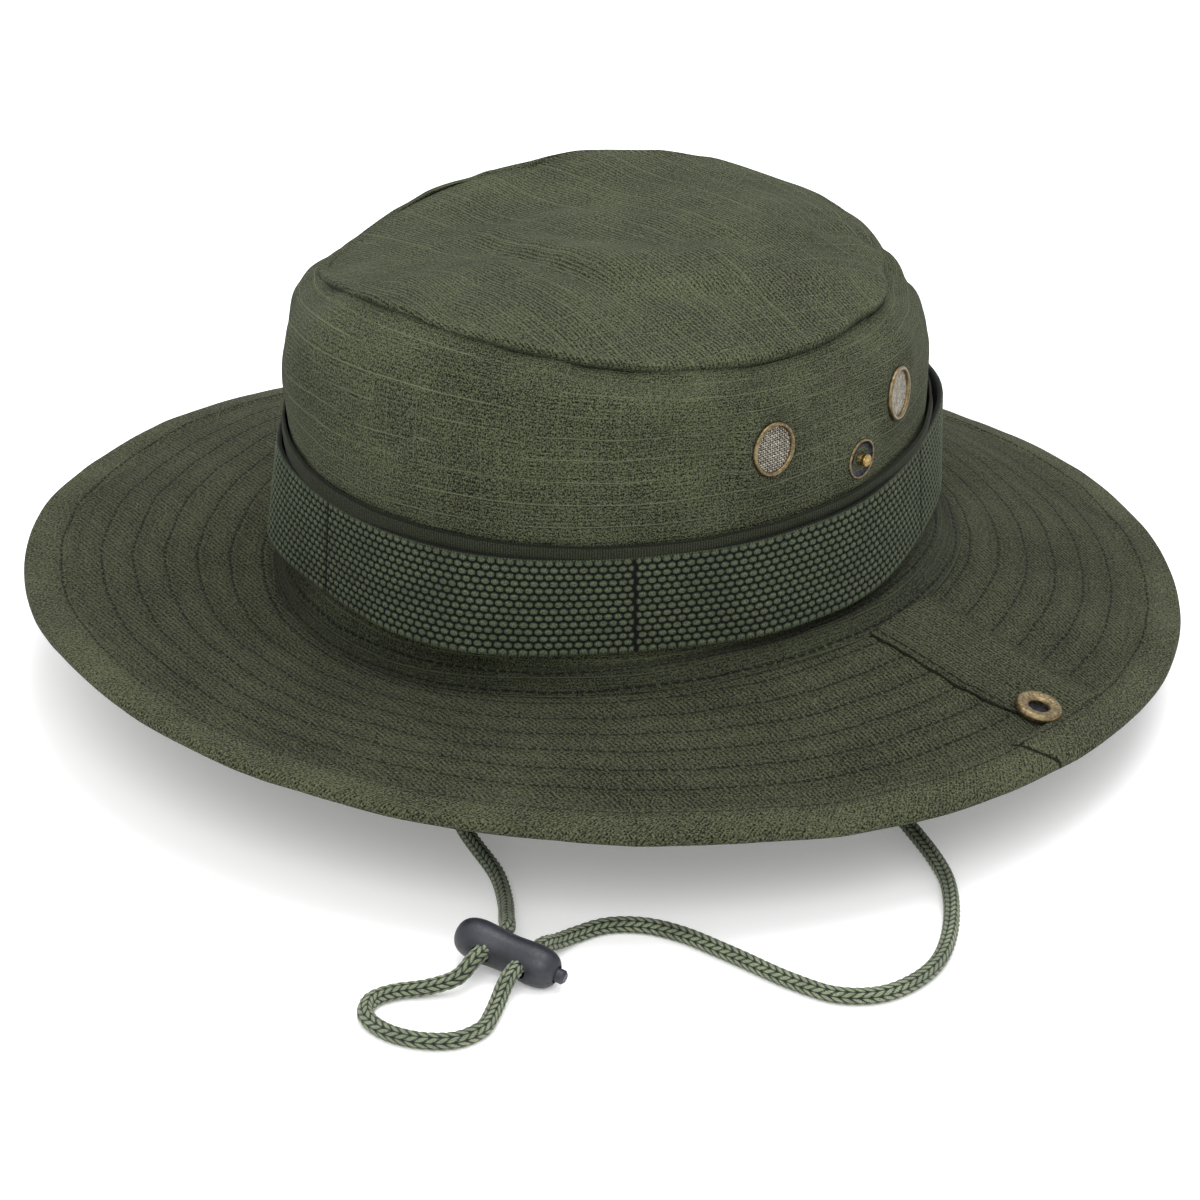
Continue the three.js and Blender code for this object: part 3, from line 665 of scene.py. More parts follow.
def even_path(points, step):
    """Points each step apart along a centripetal Catmull-Rom curve."""
    p = np.array(points, float)
    p = np.vstack([2 * p[0] - p[1], p, 2 * p[-1] - p[-2]])
    fine = []
    for p0, p1, p2, p3 in zip(p, p[1:], p[2:], p[3:]):
        t1 = np.linalg.norm(p1 - p0) ** 0.5
        t2 = t1 + np.linalg.norm(p2 - p1) ** 0.5
        t3 = t2 + np.linalg.norm(p3 - p2) ** 0.5
        t = np.linspace(t1, t2, 40, endpoint=False)[:, None]
        a1 = (t1 - t) / t1 * p0 + t / t1 * p1
        a2 = (t2 - t) / (t2 - t1) * p1 + (t - t1) / (t2 - t1) * p2
        a3 = (t3 - t) / (t3 - t2) * p2 + (t - t2) / (t3 - t2) * p3
        b1 = (t2 - t) / t2 * a1 + t / t2 * a2
        b2 = (t3 - t) / (t3 - t1) * a2 + (t - t1) / (t3 - t1) * a3
        fine.append((t2 - t) / (t2 - t1) * b1 + (t - t1) / (t2 - t1) * b2)
    fine = np.vstack(fine + [p[-2:-1]])
    run = np.concatenate([[0], np.cumsum(np.linalg.norm(np.diff(fine, axis=0), axis=1))])
    at = np.linspace(0, run[-1], int(run[-1] / step) + 1)
    return np.stack([np.interp(at, run, fine[:, k]) for k in range(3)], 1), run[-1]


def frames_along(path):
    """Tangent, side and up vectors at each point, turned as little as possible along the path."""
    tangent = unit(np.gradient(path, axis=0))
    side = np.empty_like(tangent)
    last = np.cross(tangent[0], (0, 1, 0))
    for k, t in enumerate(tangent):
        last = last - t * last.dot(t)
        last = last / np.linalg.norm(last)
        side[k] = last
    return tangent, side, np.cross(tangent, side)


def knit(along, turn):
    """Height of the knitted surface, from 0 in the gaps to 1: slanted loops in columns of V shapes."""
    column = turn / (2 * math.pi) * WALES * 2
    within = column - np.floor(column)
    side = np.where(np.floor(column) % 2 == 0, within, 1 - within)
    stroke = along / KNIT_PITCH + side
    loop = np.abs(np.sin(math.pi * stroke))
    waist = np.sin(math.pi * within) ** 0.5
    return loop ** 0.7 * (0.35 + 0.65 * waist)


def chin_cord():
    step = 0.3
    sides = 40
    path, length = even_path(ROUTE, step)
    path[:, 2] = np.maximum(path[:, 2], REST)
    _, side, up = frames_along(path)
    along = np.arange(len(path)) * length / (len(path) - 1)
    turn = around(sides)
    height = knit(along[:, None], turn[None, :])
    radius = CORD_RADIUS - 0.3 + 0.45 * height
    ring = side[:, None] * np.cos(turn)[None, :, None] + up[:, None] * np.sin(turn)[None, :, None]
    grid = path[:, None] + ring * radius[..., None]
    grid = grid.transpose(1, 0, 2)
    u = along[None, :]
    v = np.linspace(0, 2 * math.pi * CORD_RADIUS, sides + 1)[:, None]
    uv = np.stack(np.broadcast_arrays(u, v), -1)
    cord = grid_object("chin_cord", grid, CORD, {"wrap": uv})
    values = cord.data.attributes.new("cell", "FLOAT", "POINT").data
    values.foreach_set("value", height.T.ravel().astype(np.float32))
    hand_over(cord, "cord", "chin_cord_right", "chin_cord_loop", "chin_cord_left")
    return cord, path, length


TOGGLE_PLACE = Matrix.Translation(Vector(TOGGLE * MM)) @ Matrix(
    (TOGGLE_AXIS, -CORD_AXIS, np.cross(TOGGLE_AXIS, -CORD_AXIS))
).transposed().to_4x4()


def apply_modifiers(thing):
    seen = bpy.context.evaluated_depsgraph_get()
    made = bpy.data.meshes.new_from_object(thing.evaluated_get(seen))
    thing.modifiers.clear()
    thing.data = made


def cut_holes(thing, cutters):
    for cutter in cutters:
        change = thing.modifiers.new("hole", "BOOLEAN")
        change.operation = "DIFFERENCE"
        change.solver = "EXACT"
        change.object = cutter
    apply_modifiers(thing)
    for cutter in cutters:
        bpy.data.objects.remove(cutter)


def rod(name, radius, start, end, axis, centre=(0, 0), segments=48):
    """A closed cylinder along an axis, 0 for X or 1 for Y, in millimetres."""
    turn = around(segments)
    one = np.array([radius * np.cos(turn) + centre[0], radius * np.sin(turn) + centre[1]]).T
    points = []
    for place in (start, end):
        for p in one:
            points.append((place, p[0], p[1]) if axis == 0 else (p[0], place, p[1]))
    faces = [(i, (i + 1) % segments, segments + (i + 1) % segments, segments + i) for i in range(segments)]
    faces += [tuple(range(segments))[::-1], tuple(range(segments, 2 * segments))]
    thing = make_object(name, points, faces)
    shape_up(thing)
    return thing


TOGGLE_HALF = 13.9
TOGGLE_RADIUS = 5.3


def toggle():
    """Barrel cord lock with rounded ends and a slight waist, bored through for the cords and button."""
    steps = 48
    bend = np.linspace(0, math.pi, steps)
    x = -TOGGLE_HALF * np.cos(bend)
    f = np.abs(x) / TOGGLE_HALF
    r = TOGGLE_RADIUS * (1 - f**5.5) ** (1 / 2.4) * (0.9 + 0.1 * smoothstep(0, 0.65, f))
    profile = [(max(radius, 0), place) for place, radius in zip(x, r)]
    profile[0] = (0, -TOGGLE_HALF)
    profile[-1] = (0, TOGGLE_HALF)
    body = lathe("toggle_barrel", profile, PLASTIC, Matrix.Rotation(math.pi / 2, 4, "Y"), 64)
    cutters = [rod("cord_hole", 2.35, -9, 9, 1, (side * HOLE_OFFSET, 0)) for side in (-1, 1)]
    cutters += [rod("bore", 3.2, -12, 11.2, 0), rod("mouth", 2.1, 11, 20, 0)]
    cut_holes(body, cutters)
    edges = body.modifiers.new("edges", "BEVEL")
    edges.width = 0.35 * MM
    edges.segments = 2
    edges.angle_limit = math.radians(50)
    apply_modifiers(body)
    if not body.data.materials:
        body.data.materials.append(PLASTIC)
    body.data.transform(TOGGLE_PLACE)
    body.data.polygons.foreach_set("use_smooth", [True] * len(body.data.polygons))
    hand_over(body, "toggle", "toggle_body")
    for node, material in (("toggle_plunger", PLASTIC), ("toggle_spring", STEEL)):
        paint(node, material)
    return body


def paint(node, material):
    """Gives a kept CAD node its material."""
    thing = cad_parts[node]
    thing.data.materials.clear()
    thing.data.materials.append(material)


cord, cord_path, cord_length = chin_cord()
barrel = toggle()


# ---------- Crown ----------
ROUND = 1000
TURN = around(ROUND)
PERIMETER = 560
WALL_ROWS = (SEAM, FLARE, BAND_FOOT, BAND_HEAD, WALL_MID, SHOULDER, TOP_EDGE)


def pucker(t, seed, waves=36):
    """Uneven ripple round the hat, from -1 to 1, as gathered cloth makes along a seam."""
    ring = np.stack([np.cos(t), np.sin(t), np.zeros_like(t)], -1) * waves / (2 * math.pi)
    return rough(ring, 1.0, 2, seed)


def wall_surface(t, s):
    """Outer surface of the crown wall; s counts up the rows of WALL_ROWS."""
    rows = np.stack([on_oval(oval, t) for oval in WALL_ROWS])
    return spline(rows, s).transpose(1, 0, 2)


HARDWARE = ((-22.3, 57), (9.5, 57), (170.5, 53), (205, 51), (-3, 45.5))
VENT_SEATS = tuple((f"vent_mesh_{k}", 7.5, 0.3, 6.8, -0.9) for k in (1, 2, 3, 4))
SEATS = (*VENT_SEATS, ("snap_stud", 5.6, -0.8, 0, 0))


def place_of(node, level=(0, 0, 1)):
    """Matrix of a round CAD node: its centre, and Z along its shortest direction, away from the hat."""
    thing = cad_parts[node]
    points = np.array([v.co for v in thing.data.vertices])
    centre = (points.min(0) + points.max(0)) / 2
    spread = points - points.mean(0)
    _, axes = np.linalg.eigh(spread.T @ spread)
    axis = Vector(axes[:, 0])
    if axis.dot(Vector((centre[0], 0, 0)) if abs(axis.x) > 0.7 else Vector((0, 0, 1))) < 0:
        axis = -axis
    across = Vector(level).cross(axis).normalized()
    basis = Matrix((across, axis.cross(across), axis)).transposed()
    return Matrix.Translation(Vector(centre)) @ basis.to_4x4()


def seated(grid, seats, level=(0, 0, 1), sink=0.0):
    """Presses cloth flat behind round metal parts, sink lower than the cloth's face.

    seats is (node, radius pressed flat, height of the face, hole radius, height inside the hole).
    """
    for node, radius, face, hole, floor in seats:
        place = np.array(place_of(node, level))
        local = (grid * MM - place[:3, 3]) @ place[:3, :3] / MM
        off = np.hypot(local[..., 0], local[..., 1])
        near = (1 - smoothstep(radius, radius + 6, off)) * (np.abs(local[..., 2]) < 8)
        target = face + (floor - face) * (1 - smoothstep(hole - 0.5, hole + 0.1, off)) - sink
        grid = grid + ((target - local[..., 2]) * near)[..., None] * place[:3, 2]
    return grid


def flat_near_metal(grid, t):
    """0 at the vents and stud, where metal holds the cloth to its shape, rising to 1 away from them."""
    keep = 1.0
    for direction, height in HARDWARE:
        side = angle_from(t, direction)[:, None] / 8
        up = (grid[..., 2] - height) / 13
        keep = keep * (1 - np.exp(-((side**2 + up**2) ** 1.5)))
    return keep


def shoulder_in(t):
    """How far the slack cloth falls in at the top seam at the snap side, and out at the far back."""
    notch = 3.6 * bump(t, 36, 11) + 1.5 * bump(t, 8, 7) + 3.0 * bump(t, 50, 3.5) + 2.4 * bump(t, 63, 3)
    return notch - 2.0 * bump(t, 78, 12) - 5.5 * bump(t, 168, 34) - 2.0 * bump(t, -150, 12)


def wall_folds(grid, t, s):
    """How far the wall's soft cloth stands out from its smooth shape."""
    out = 2.2 * rough(grid, 42, 2, 1) + 1.0 * rough(grid * (1, 1, 0.7), 16, 2, 2)
    high = smoothstep(3.2, 4.2, s)[None, :]
    crease = bump(t, -39, 3.0)[:, None] * smoothstep(3.8, 4.6, s) * (1 - smoothstep(5.7, 6, s))
    corner = bump(t, -46, 12)[:, None] * smoothstep(3, 4, s) * (1 - smoothstep(4.9, 5.8, s))
    gather = pucker(t, 5)[:, None] * smoothstep(5.0, 5.95, s)[None, :] ** 2
    fall = shoulder_in(t)[:, None] * smoothstep(4.3, 5.9, s)[None, :]
    tuck = 0.7 * smoothstep(5.8, 6, s)[None, :]
    folds = out * (0.25 + 0.75 * high) - 1.3 * crease + 3.0 * corner + 0.5 * gather - 1.3 * high - tuck
    return folds * flat_near_metal(grid, t) - fall


def crown_side():
    outer_s = np.concatenate([np.linspace(0, 3, 46), np.linspace(3, 6, 96)[1:]])
    outer = wall_surface(TURN, outer_s)
    outer = outer + normals(outer) * wall_folds(outer, TURN, outer_s)[..., None]
    outer = seated(outer, SEATS)
    tuck = outer[:, -1:] + normals(outer)[:, -1:] * -0.9
    outer = np.concatenate([outer, tuck], 1)
    inner_s = np.linspace(5.9, 0, 34)
    inner = wall_surface(TURN, inner_s)
    fall = shoulder_in(TURN)[:, None] * smoothstep(4.3, 5.9, inner_s)[None, :]
    inner = seated(inner + normals(inner) * (2 * CLOTH + fall)[..., None], SEATS, sink=CLOTH)
    grid = np.concatenate([outer, inner], 1)
    v = widths_of(grid, CLOTH)
    wall = band_object("crown_side_cloth", grid, CROWN, v, PERIMETER)
    hand_over(wall, "crown_cloth", "crown_side")


def dome(t, r):
    """Top panel at r, the fraction of the way from its middle to its rim."""
    a, b, x, y, z, waves = TOP_EDGE
    height = z + DOME_RISE * (1 - r**3) + DOME_LEAN * np.cos(t - math.radians(36)) * (r - r**3)
    fall = shoulder_in(t) * smoothstep(0.4, 1, r)
    for n, h, crest in waves:
        height = height + h * np.cos(n * (t - math.radians(crest))) * r**n
    east = x + ((a + 0.2) * r - fall) * np.cos(t)
    north = y + ((b + 0.2) * r - fall) * np.sin(t)
    height = height - 3.0 * np.exp(-((east + 50) ** 2 + (north - 20) ** 2) / 42**2) * (1 - r**6)
    height = height + 4.0 * bump(t, 162, 42) * (r**2 - r**8)
    return np.stack([east, north, height], -1)


def ridge(points, middle, direction, length, width):
    """A soft fold seen from above: 1 at its middle, running in a direction in degrees."""
    x = points[..., 0] - middle[0]
    y = points[..., 1] - middle[1]
    c, s = math.cos(math.radians(direction)), math.sin(math.radians(direction))
    return bell(x * c + y * s, length) * bell(y * c - x * s, width)


# Soft folds of the top panel: height, middle, direction in degrees, half length and half width.
TOP_FOLDS = (
    (2.2, (-8, -15), -17, 30, 7),
    (-2.6, (-2, -27), -17, 26, 5),
    (-2.4, (0, -68), -55, 13, 5),
    (1.8, (-22, -58), -50, 16, 6),
    (-1.8, (-36, -44), -60, 14, 6),
    (1.6, (26, -6), 50, 24, 8),
    (-1.6, (40, -22), 55, 26, 6),
    (-2.0, (34, 50), -45, 18, 5),
)


def developed(top):
    """Plan of the panel laid flat, each column by its length along the cloth from the middle."""
    steps = np.linalg.norm(np.diff(top, axis=1), axis=2)[:, ::-1]
    run = np.concatenate([np.zeros((len(top), 1)), np.cumsum(steps, 1)], 1)[:, ::-1]
    away = top[:, :1, :2] - top[:, -1:, :2]
    return run[..., None] * unit(away)


def crown_top():
    inside = np.linspace(0.86, 0.004, 80)[1:]
    r = np.concatenate([[1.004], np.linspace(1, 0.86, 26), inside])
    top = dome(TURN[:, None], r[None, :])
    out = -normals(top)
    out = out * np.sign(out[..., 2:3])
    rim = smoothstep(0.93, 1.0, r)[None, :]
    roll = bell(r - 0.983, 0.012)[None, :]
    lift = 2.6 * rough(top, 50, 2, 3) * (1 - rim) + 0.9 * rough(top, 19, 2, 4) * (1 - rim)
    hollow = bell(top[..., 0] + 38, 26) * bell(top[..., 1] + 30, 30)
    folds = sum(height * ridge(top, *fold) for height, *fold in TOP_FOLDS)
    gather = 0.45 * pucker(TURN, 5)[:, None] * smoothstep(0.86, 0.985, r)[None, :]
    lift = lift - 2.0 * hollow + folds + 0.5 * roll + gather
    top = top + out * lift[..., None]
    top[:, 0] = top[:, 1] + out[:, 1] * -1.3
    top[:, -1] = top[:, -1].mean(0)
    under = dome(TURN[:, None], np.linspace(0.004, 0.99, 24)[None, :]) - np.array([0, 0, CLOTH + 1.6])
    under[:, 0] = under[:, 0].mean(0)
    grid = np.concatenate([top, under], 1)
    plan = np.concatenate([developed(top), under[..., :2]], 1)
    uv = closed(np.concatenate([plan, plan[:, :1]], 1))
    panel = grid_object("crown_top_cloth", grid, CROWN_TOP, {"plan": uv, "wrap": uv}, loop=True)
    shape_up(panel)
    hand_over(panel, "crown_cloth", "crown_top")


def sweatband():
    s = np.linspace(0.25, 2.75, 30)
    base = wall_surface(TURN, s)
    out = normals(base)
    ripple = 0.35 * rough(base, 24, 2, 6)[..., None]
    outer = base - out * (CLOTH + 0.8)
    inner = (base - out * (CLOTH + 1.9 + ripple))[:, ::-1]
    grid = np.concatenate([outer, inner], 1)
    v = np.linspace(0, 70, grid.shape[1] + 1)
    band = band_object("sweatband_cloth", grid, LINING, v, PERIMETER)
    shape_up(band)
    hand_over(band, "sweatband", "sweatband")


# ---------- Webbing and tape ----------
def bow(t):
    """0 at the webbing's tacks, 1 midway between them."""
    nearest = np.min([np.abs(angle_from(t, tack)) for tack in TACKS], axis=0)
    return np.sin(np.minimum(nearest / 30, 1) * math.pi / 2) ** 2


def stand_off(t, across):
    """Gap between webbing and wall; across runs from 0 at the lower edge to 1 at the upper."""
    left = bump(t, -92, 38)
    low = BAND_BOW * bow(t) * (1 + 0.6 * left)
    high = 0.6 * BAND_BOW * bow(t) + 2.2 * bump(t, 48, 16)
    return 0.7 + (1.2 + low[:, None]) * (1 - across) + high[:, None] * across


def webbing():
    columns = 1900
    rows = 90
    t = around(columns)
    across = np.linspace(0, 1, rows)
    foot = on_oval((*BAND_FOOT[:4], BAND_MIDDLE - BAND_WIDTH / 2, BAND_WAVES), t)
    head = on_oval((*BAND_HEAD[:4], BAND_MIDDLE + BAND_WIDTH / 2, BAND_WAVES), t)
    base = foot[:, None] * (1 - across)[None, :, None] + head[:, None] * across[None, :, None]
    out = outward(BAND_FOOT, t)[:, None]
    gap = stand_off(t, across)
    base = base + out * gap[..., None]
    sway = rough(base[:, :1] * (1, 1, 0), 38, 2, 8) * 0.8 * bow(t)[:, None]
    base[..., 2] += sway
    row = across * CELL_ROWS
    cells = round(PERIMETER / CELL_WIDTH)
    shift = (np.floor(row) % 2) * 0.5
    u = t[:, None] / (2 * math.pi) * cells + shift[None, :]
    du = (u - np.floor(u) - 0.5) * 2
    dv = ((row - np.floor(row) - 0.5) * 2)[None, :]
    round_cell = np.clip(1 - (np.abs(du) ** 2.4 + np.abs(dv) ** 2.2), 0, 1) ** 0.5
    edge = smoothstep(0.0, 0.035, across) * (1 - smoothstep(0.965, 1, across))
    saw = np.abs(np.sin(t * cells * 1.5))[:, None]
    selvedge = (1 - edge)[None, :] * (0.35 + 0.5 * saw)
    cell = round_cell * edge[None, :] + selvedge
    tacked = sum(bump(t, tack, 0.28) for tack in TACKS)[:, None]
    cell = cell * (1 - 0.75 * tacked)
    outer = base + out * (BAND_CLOTH - 0.35 + 0.62 * cell - 0.25 * tacked)[..., None]
    inner = base[:, ::-1]
    grid = np.concatenate([outer, inner[:, :: max(1, rows // 8)]], 1)
    v = np.linspace(0, 2 * BAND_WIDTH, grid.shape[1] + 1)
    band = band_object("webbing", grid, WEBBING, v, PERIMETER)
    # The back face keeps cell 0 and takes the gaps' near-black: painted shade behind the webbing.
    values = np.zeros(grid.shape[:2], np.float32)
    values[:, :rows] = cell
    band.data.attributes.new("cell", "FLOAT", "POINT").data.foreach_set("value", values.ravel())
    hand_over(band, "webbing", "webbing_band")


def tape():
    """Flat tape sewn above the webbing, folded over at its upper edge."""
    width = 4.4 - 1.7 * np.cos(TURN)
    head = on_oval((*BAND_HEAD[:4], BAND_MIDDLE + BAND_WIDTH / 2 - TAPE_LAP, BAND_WAVES), TURN)
    out = outward(BAND_HEAD, TURN)
    across = np.linspace(0, 1, 12)
    column = head[:, None] + UP * ((width[:, None] + TAPE_LAP) * across)[..., None]
    column = column + out[:, None] * (0.9 + 0.35 * np.sin(across * math.pi) + 0.25 * across)[None, :, None]
    ripple = 0.35 * rough(column, 13, 2, 9)
    outer = column + out[:, None] * (0.7 + ripple)[..., None]
    grid = np.concatenate([outer, (column + out[:, None] * ripple[..., None])[:, ::-1]], 1)
    v = np.linspace(0, 14, grid.shape[1] + 1)
    band = band_object("band_tape_cloth", grid, TAPE, v, PERIMETER)
    hand_over(band, "tape", "band_tape")


# ---------- Brim ----------
BRIM_WIDTH = 62
BRIM_SAG = 0.6
BRIM_SEAM = (*SEAM[:4], 0, SEAM_WAVES)
PATCH_CLOTH = 0.6
SOCKET_SEAT = (("snap_socket", 6.6, -1.0, 0, 0),)


def brim_line(t, f):
    """Smooth top surface of the brim, from 0 at the crown seam to 1 at the edge."""
    seam = on_oval(BRIM_SEAM, t)
    edge = on_oval(EDGE, t)
    place = seam[:, None] * (1 - f)[None, :, None] + edge[:, None] * f[None, :, None]
    place[..., 2] += BRIM_SAG * np.sin(math.pi * np.clip(f, 0, 1))
    return place


def brim_waves(place, f):
    flat = place * (1, 1, 0)
    return (1.3 * rough(flat, 60, 2, 11) + 0.35 * rough(flat, 20, 2, 12)) * smoothstep(0, 0.4, f)


def brim_top(t, f):
    place = brim_line(t, f)
    place[..., 2] += brim_waves(place, f)
    return place


def brim():
    f_top = np.linspace(-0.05, 0.99, 130)
    top = brim_top(TURN, f_top)
    v = f_top * BRIM_WIDTH
    pillow = np.sin(math.pi * np.clip((v - 2.5) / STITCH_PITCH, 0, 5.6)) ** 2
    top[..., 2] += 0.2 * pillow[None, :]
    f_low = np.linspace(0.99, -0.05, 50)
    low = brim_top(TURN, f_low)
    low[..., 2] -= BRIM_THICK
    grid = np.concatenate([top, low], 1)
    plan = closed(np.concatenate([grid[..., :2], grid[:, :1, :2]], 1))
    across = np.concatenate([v, f_low * BRIM_WIDTH, v[:1]])
    layers = {"plan": plan, "wrap": wrap_uv(ROUND, 800, across)}
    top_rows = len(f_top)
    grid[:, :top_rows] = seated(grid[:, :top_rows], SOCKET_SEAT, (0, 1, 0), PATCH_CLOTH)
    cloth = grid_object("brim_cloth", grid, BRIM, layers, loop=True, flip=True)
    plies = ("brim_upper", "brim_stiffener", "brim_lower")
    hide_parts(*plies, *(f"{ply}_flap" for ply in plies))
    fold(cloth)


def fold(cloth):
    """Bakes a piece's place into its mesh."""
    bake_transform(cloth)


def binding():
    """Bias strip folded round the brim's edge, its lap raised near the snap."""
    t = TURN
    width = BRIM_WIDTH + 1
    over = BINDING_CLOTH
    inset = np.linspace(BINDING_WIDTH + 1.2, 1.2, 34)
    f_top = 1 - inset / width
    top = brim_top(t, f_top)
    lip = smoothstep(0, 1.2, BINDING_WIDTH + 1.2 - inset)
    puff = 0.35 * np.sin(math.pi * np.clip((BINDING_WIDTH - inset) / BINDING_WIDTH, 0, 1)) ** 0.7
    seam = 0.4 * bell(inset - BINDING_WIDTH, 0.5)
    lap_turn = angle_from(t, -8.2)[:, None] + 0.16 * (inset[None, :] - 6)
    lap = smoothstep(0, 0.35, lap_turn) * (1 - smoothstep(6, 14, lap_turn))
    gather = 0.22 * pucker(t, 21, 90)[:, None] * bell(inset - BINDING_WIDTH, 3.5)[None, :]
    top[..., 2] += 0.15 + (over * lip + puff - seam)[None, :] + 0.7 * lap + gather
    low = brim_top(t, f_top[::-1])
    low[..., 2] -= BRIM_THICK + over * lip[::-1] + puff[::-1]
    bend = np.linspace(0, math.pi, 12)[1:-1]
    a = top[:, -1]
    b = low[:, 0]
    centre = (a + b) / 2
    half = np.linalg.norm(a - b, axis=1, keepdims=True) / 2
    out = outward(EDGE, t)
    rise = half * UP
    rim = [centre + rise * math.cos(k) + out * (half * 0.75) * math.sin(k) for k in bend]
    grid = np.concatenate([top, np.stack(rim, 1), low], 1)
    back = low[:, -1:] + np.array([0, 0, over])
    front = top[:, :1] - np.array([0, 0, over * 0.6])
    grid = np.concatenate([grid, back, front], 1)
    v = widths_of(grid, 1)
    strip = band_object("brim_binding_cloth", grid, BINDING, v, 1000, flip=True)
    shape_up(strip)
    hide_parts("brim_binding", "brim_binding_flap")
    fold(strip)


def surface_at(x, y):
    """Height of the brim's top at points, found from the direction and distance."""
    t = np.arctan2(y - SEAM[3], x - SEAM[2])
    f = np.full_like(t, 0.5)
    for _ in range(25):
        seam = on_oval(BRIM_SEAM, t)
        edge = on_oval(EDGE, t)
        place = seam * (1 - f)[..., None] + edge * f[..., None]
        t = t + np.arctan2(y, x) - np.arctan2(place[..., 1], place[..., 0])
        width = np.linalg.norm((edge - seam)[..., :2], axis=-1)
        f = f + (np.hypot(x, y) - np.hypot(place[..., 0], place[..., 1])) / width
    z = place[..., 2] + BRIM_SAG * np.sin(math.pi * np.clip(f, 0, 1))
    flat = np.stack([x, y, z], -1)
    return z + brim_waves(flat, f)


PATCH_LOW = -13
PATCH_HIGH = 17.4


def slab_faces(columns, rows):
    """Faces of a slab from a grid of top points followed by the same grid of bottom points."""
    top = np.arange(columns * rows).reshape(columns, rows)
    low = top + top.size
    parts = [
        (top[:-1, :-1], top[1:, :-1], top[1:, 1:], top[:-1, 1:]),
        (low[:-1, :-1], low[:-1, 1:], low[1:, 1:], low[1:, :-1]),
    ]
    parts += [(top[:-1, j], low[:-1, j], low[1:, j], top[1:, j]) for j in (0, -1)]
    parts += [(top[i, :-1], top[i, 1:], low[i, 1:], low[i, :-1]) for i in (0, -1)]
    return np.concatenate([np.stack(part, -1).reshape(-1, 4) for part in parts])


def patch():
    """Strip sewn across the brim under the socket, with a folded, uneven front edge."""
    columns = 90
    rows = 50
    x = np.linspace(94.6, 147.6, columns)[:, None] + np.zeros((1, rows))
    f = np.linspace(0, 1, rows)[None, :]
    uneven = 0.8 * rough(np.stack([x, x * 0, x * 0], -1), 7, 2, 31)
    edge = PATCH_LOW + 6.5 * smoothstep(126, 148, x) ** 1.6 + uneven
    y = edge + (PATCH_HIGH - edge) * f
    seam = bell(f * 30 - 1.8, 0.7) + bell((1 - f) * 30 - 1.2, 0.6)
    thick = 0.95 * smoothstep(0, 0.035, f) * (1 - 0.75 * smoothstep(0.955, 1, f)) - 0.3 * seam
    flat = np.stack([x, y, np.zeros_like(x)], -1)
    z = surface_at(x, y) + 0.12 + thick + 0.16 * rough(flat, 9, 2, 33)
    top = np.stack([x, y, z], -1)
    low = top.copy()
    low[..., 2] = surface_at(x, y) - 0.5
    top = seated(top, SOCKET_SEAT, (0, 1, 0))
    low = seated(low, SOCKET_SEAT, (0, 1, 0), PATCH_CLOTH)
    points = np.concatenate([top.reshape(-1, 3), low.reshape(-1, 3)])
    faces = slab_faces(columns, rows)
    flat = points[:, :2]
    wrap = np.concatenate([np.stack([x, f * 30 + 0 * x], -1).reshape(-1, 2)] * 2)
    at_corners = faces.ravel()
    layers = {"plan": flat[at_corners], "wrap": wrap[at_corners]}
    cloth = make_object("snap_patch_cloth", points, faces, PATCH, layers)
    shape_up(cloth)
    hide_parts("snap_patch")
    fold(cloth)


# ---------- Metal ----------
def rounded(corners, radius=0.12, steps=4):
    """A closed profile with its corners rounded off."""
    corners = np.array(corners, float)
    made = []
    for p, c, n in zip(np.roll(corners, 1, 0), corners, np.roll(corners, -1, 0)):
        if c[0] < 1e-6:
            made.append(c)
            continue
        a = c + (p - c) * min(0.45, radius / max(np.linalg.norm(p - c), 1e-6))
        b = c + (n - c) * min(0.45, radius / max(np.linalg.norm(n - c), 1e-6))
        for k in np.linspace(0, 1, steps):
            made.append((1 - k) ** 2 * a + 2 * k * (1 - k) * c + k * k * b)
    return np.array(made)


def vent(index):
    """Screened vent: a rolled ring and woven wire cloth in it."""
    place = place_of(f"vent_mesh_{index}")
    lip = [(7.2, 0.3), (7.25, 0.9), (6.9, 1.35), (6.4, 1.4), (5.95, 1.0)]
    ring = lip + [(5.85, -0.6), (6.4, -0.6), (6.4, 0.3)]
    collar = lathe(f"vent_collar_{index}", rounded(ring, 0.3), BRASS, place)
    hand_over(collar, "brass", f"vent_ring_{index}")
    screen = wire_cloth(f"vent_screen_{index}", 6.0, 0.62, 0.13)
    screen.data.transform(place)
    hand_over(screen, "wire", f"vent_mesh_{index}")
    paint(f"vent_washer_{index}", BRASS)


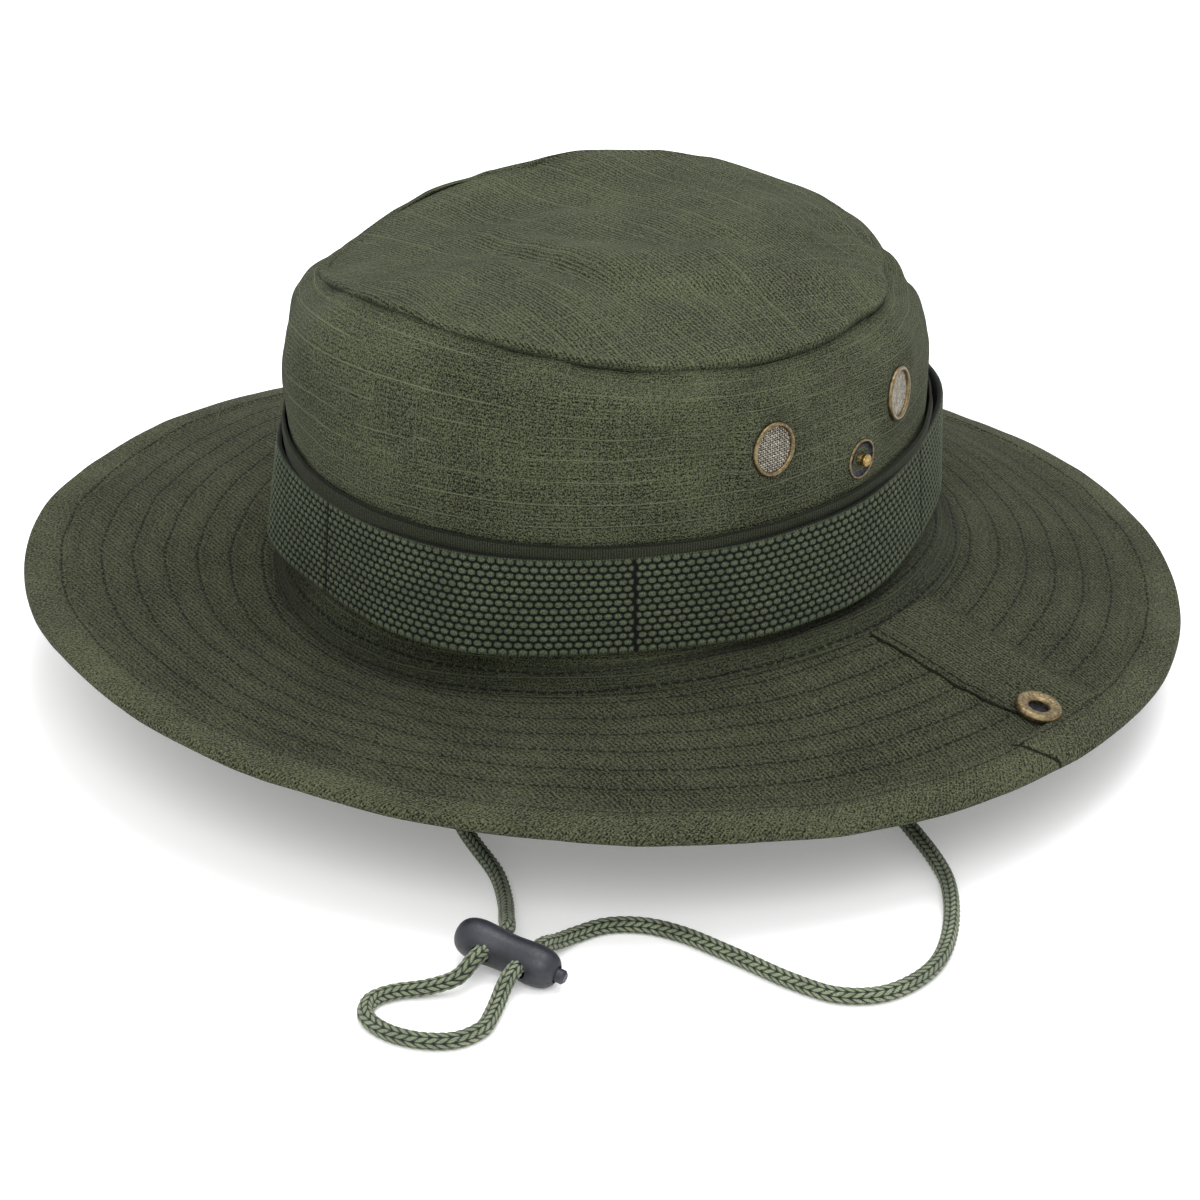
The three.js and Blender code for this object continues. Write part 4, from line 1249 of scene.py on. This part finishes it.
def wire_cloth(name, radius, pitch, wire):
    """Plain-woven wire in a disc; each wire goes over one crossing and under the next."""
    points = []
    faces = []
    count = int(radius / pitch)
    sides = 5
    for axis in (0, 1):
        for k in range(-count, count + 1):
            across = k * pitch
            half = math.sqrt(max(radius**2 - across**2, 0))
            if half < pitch:
                continue
            steps = max(6, int(half * 2 / (pitch / 3)))
            along = np.linspace(-half, half, steps)
            phase = math.pi * k + (math.pi if axis else 0)
            high = wire * 0.9 * np.cos(math.pi * along / pitch + phase)
            first = len(points)
            for a, h in zip(along, high):
                for m in range(sides):
                    turn = 2 * math.pi * m / sides
                    side = across + wire * math.cos(turn)
                    up = h + wire * math.sin(turn) + 0.35
                    points.append((a, side, up) if axis == 0 else (side, a, up))
            for i in range(steps - 1):
                for m in range(sides):
                    n = (m + 1) % sides
                    b = first + i * sides
                    face = (b + m, b + n, b + sides + n, b + sides + m)
                    faces.append(face if axis == 1 else face[::-1])
    screen = make_object(name, points, faces, WIRE)
    back = rod(name + "_back", radius - 0.1, -0.25, -0.1, 1)
    back.data.transform(Matrix.Rotation(math.pi / 2, 4, "X"))
    back.data.materials.append(BACKING)
    return join(name, [screen, back])


def milled(turn, r, z):
    """Height of the short ribs round the snap's face."""
    return 0.09 * np.maximum(0, np.cos(turn * 26)) * bell(r - 4.7, 0.8) * (z > 0)


def snap():
    socket = place_of("snap_socket", (0, 1, 0))
    radius = 6.25
    ring = [(2.6, -0.95), (radius, -0.95), (radius + 0.05, 0.2), (radius - 0.5, 0.85), (radius - 1.4, 1.05),
            (3.9, 0.8), (3.2, 0.75), (2.6, 0.2)]
    face = lathe("snap_socket_ring", rounded(ring, 0.35, 5), BRASS, socket, 208, milled)
    hand_over(face, "brass", "snap_socket", body="flap")
    cup = [(0, -0.9), (2.9, -0.9), (2.9, -0.5), (0, -0.6)]
    well = lathe("snap_socket_well", rounded(cup, 0.1), BLACKED, socket)
    hand_over(well, "dark_metal", body="flap")
    paint("snap_cap", BRASS)
    stud = place_of("snap_stud")
    base = [(0, -1.5), (5.3, -1.5), (5.35, -0.7), (4.9, -0.35), (4.2, -0.75), (2.6, -0.85), (0, -0.85)]
    flange = lathe("snap_stud_flange", rounded(base, 0.25), BLACKED, stud)
    hand_over(flange, "dark_metal", "snap_stud")
    rim = [(4.75, -0.75), (5.4, -0.8), (5.5, -0.5), (5.1, -0.2), (4.75, -0.4)]
    edge = lathe("snap_stud_rim", rounded(rim, 0.2), BRASS, stud)
    hand_over(edge, "brass")
    knob = [(0, -1), (1.75, -1), (1.45, 0.2), (1.85, 1.1), (1.5, 1.5), (0, 1.55)]
    button = lathe("snap_stud_knob", rounded(knob, 0.25), GOLD, stud)
    hand_over(button, "brass")
    paint("snap_stud_back", BRASS)


BACKING = tape_material("vent_backing", rgb(60, 58, 52), rgb(110, 107, 98))

crown_side()
crown_top()
sweatband()
webbing()
tape()
brim()
binding()
patch()
for index in range(1, 5):
    vent(index)
snap()
for node in ("cord_anchor_left", "cord_anchor_right"):
    paint(node, TAPE)
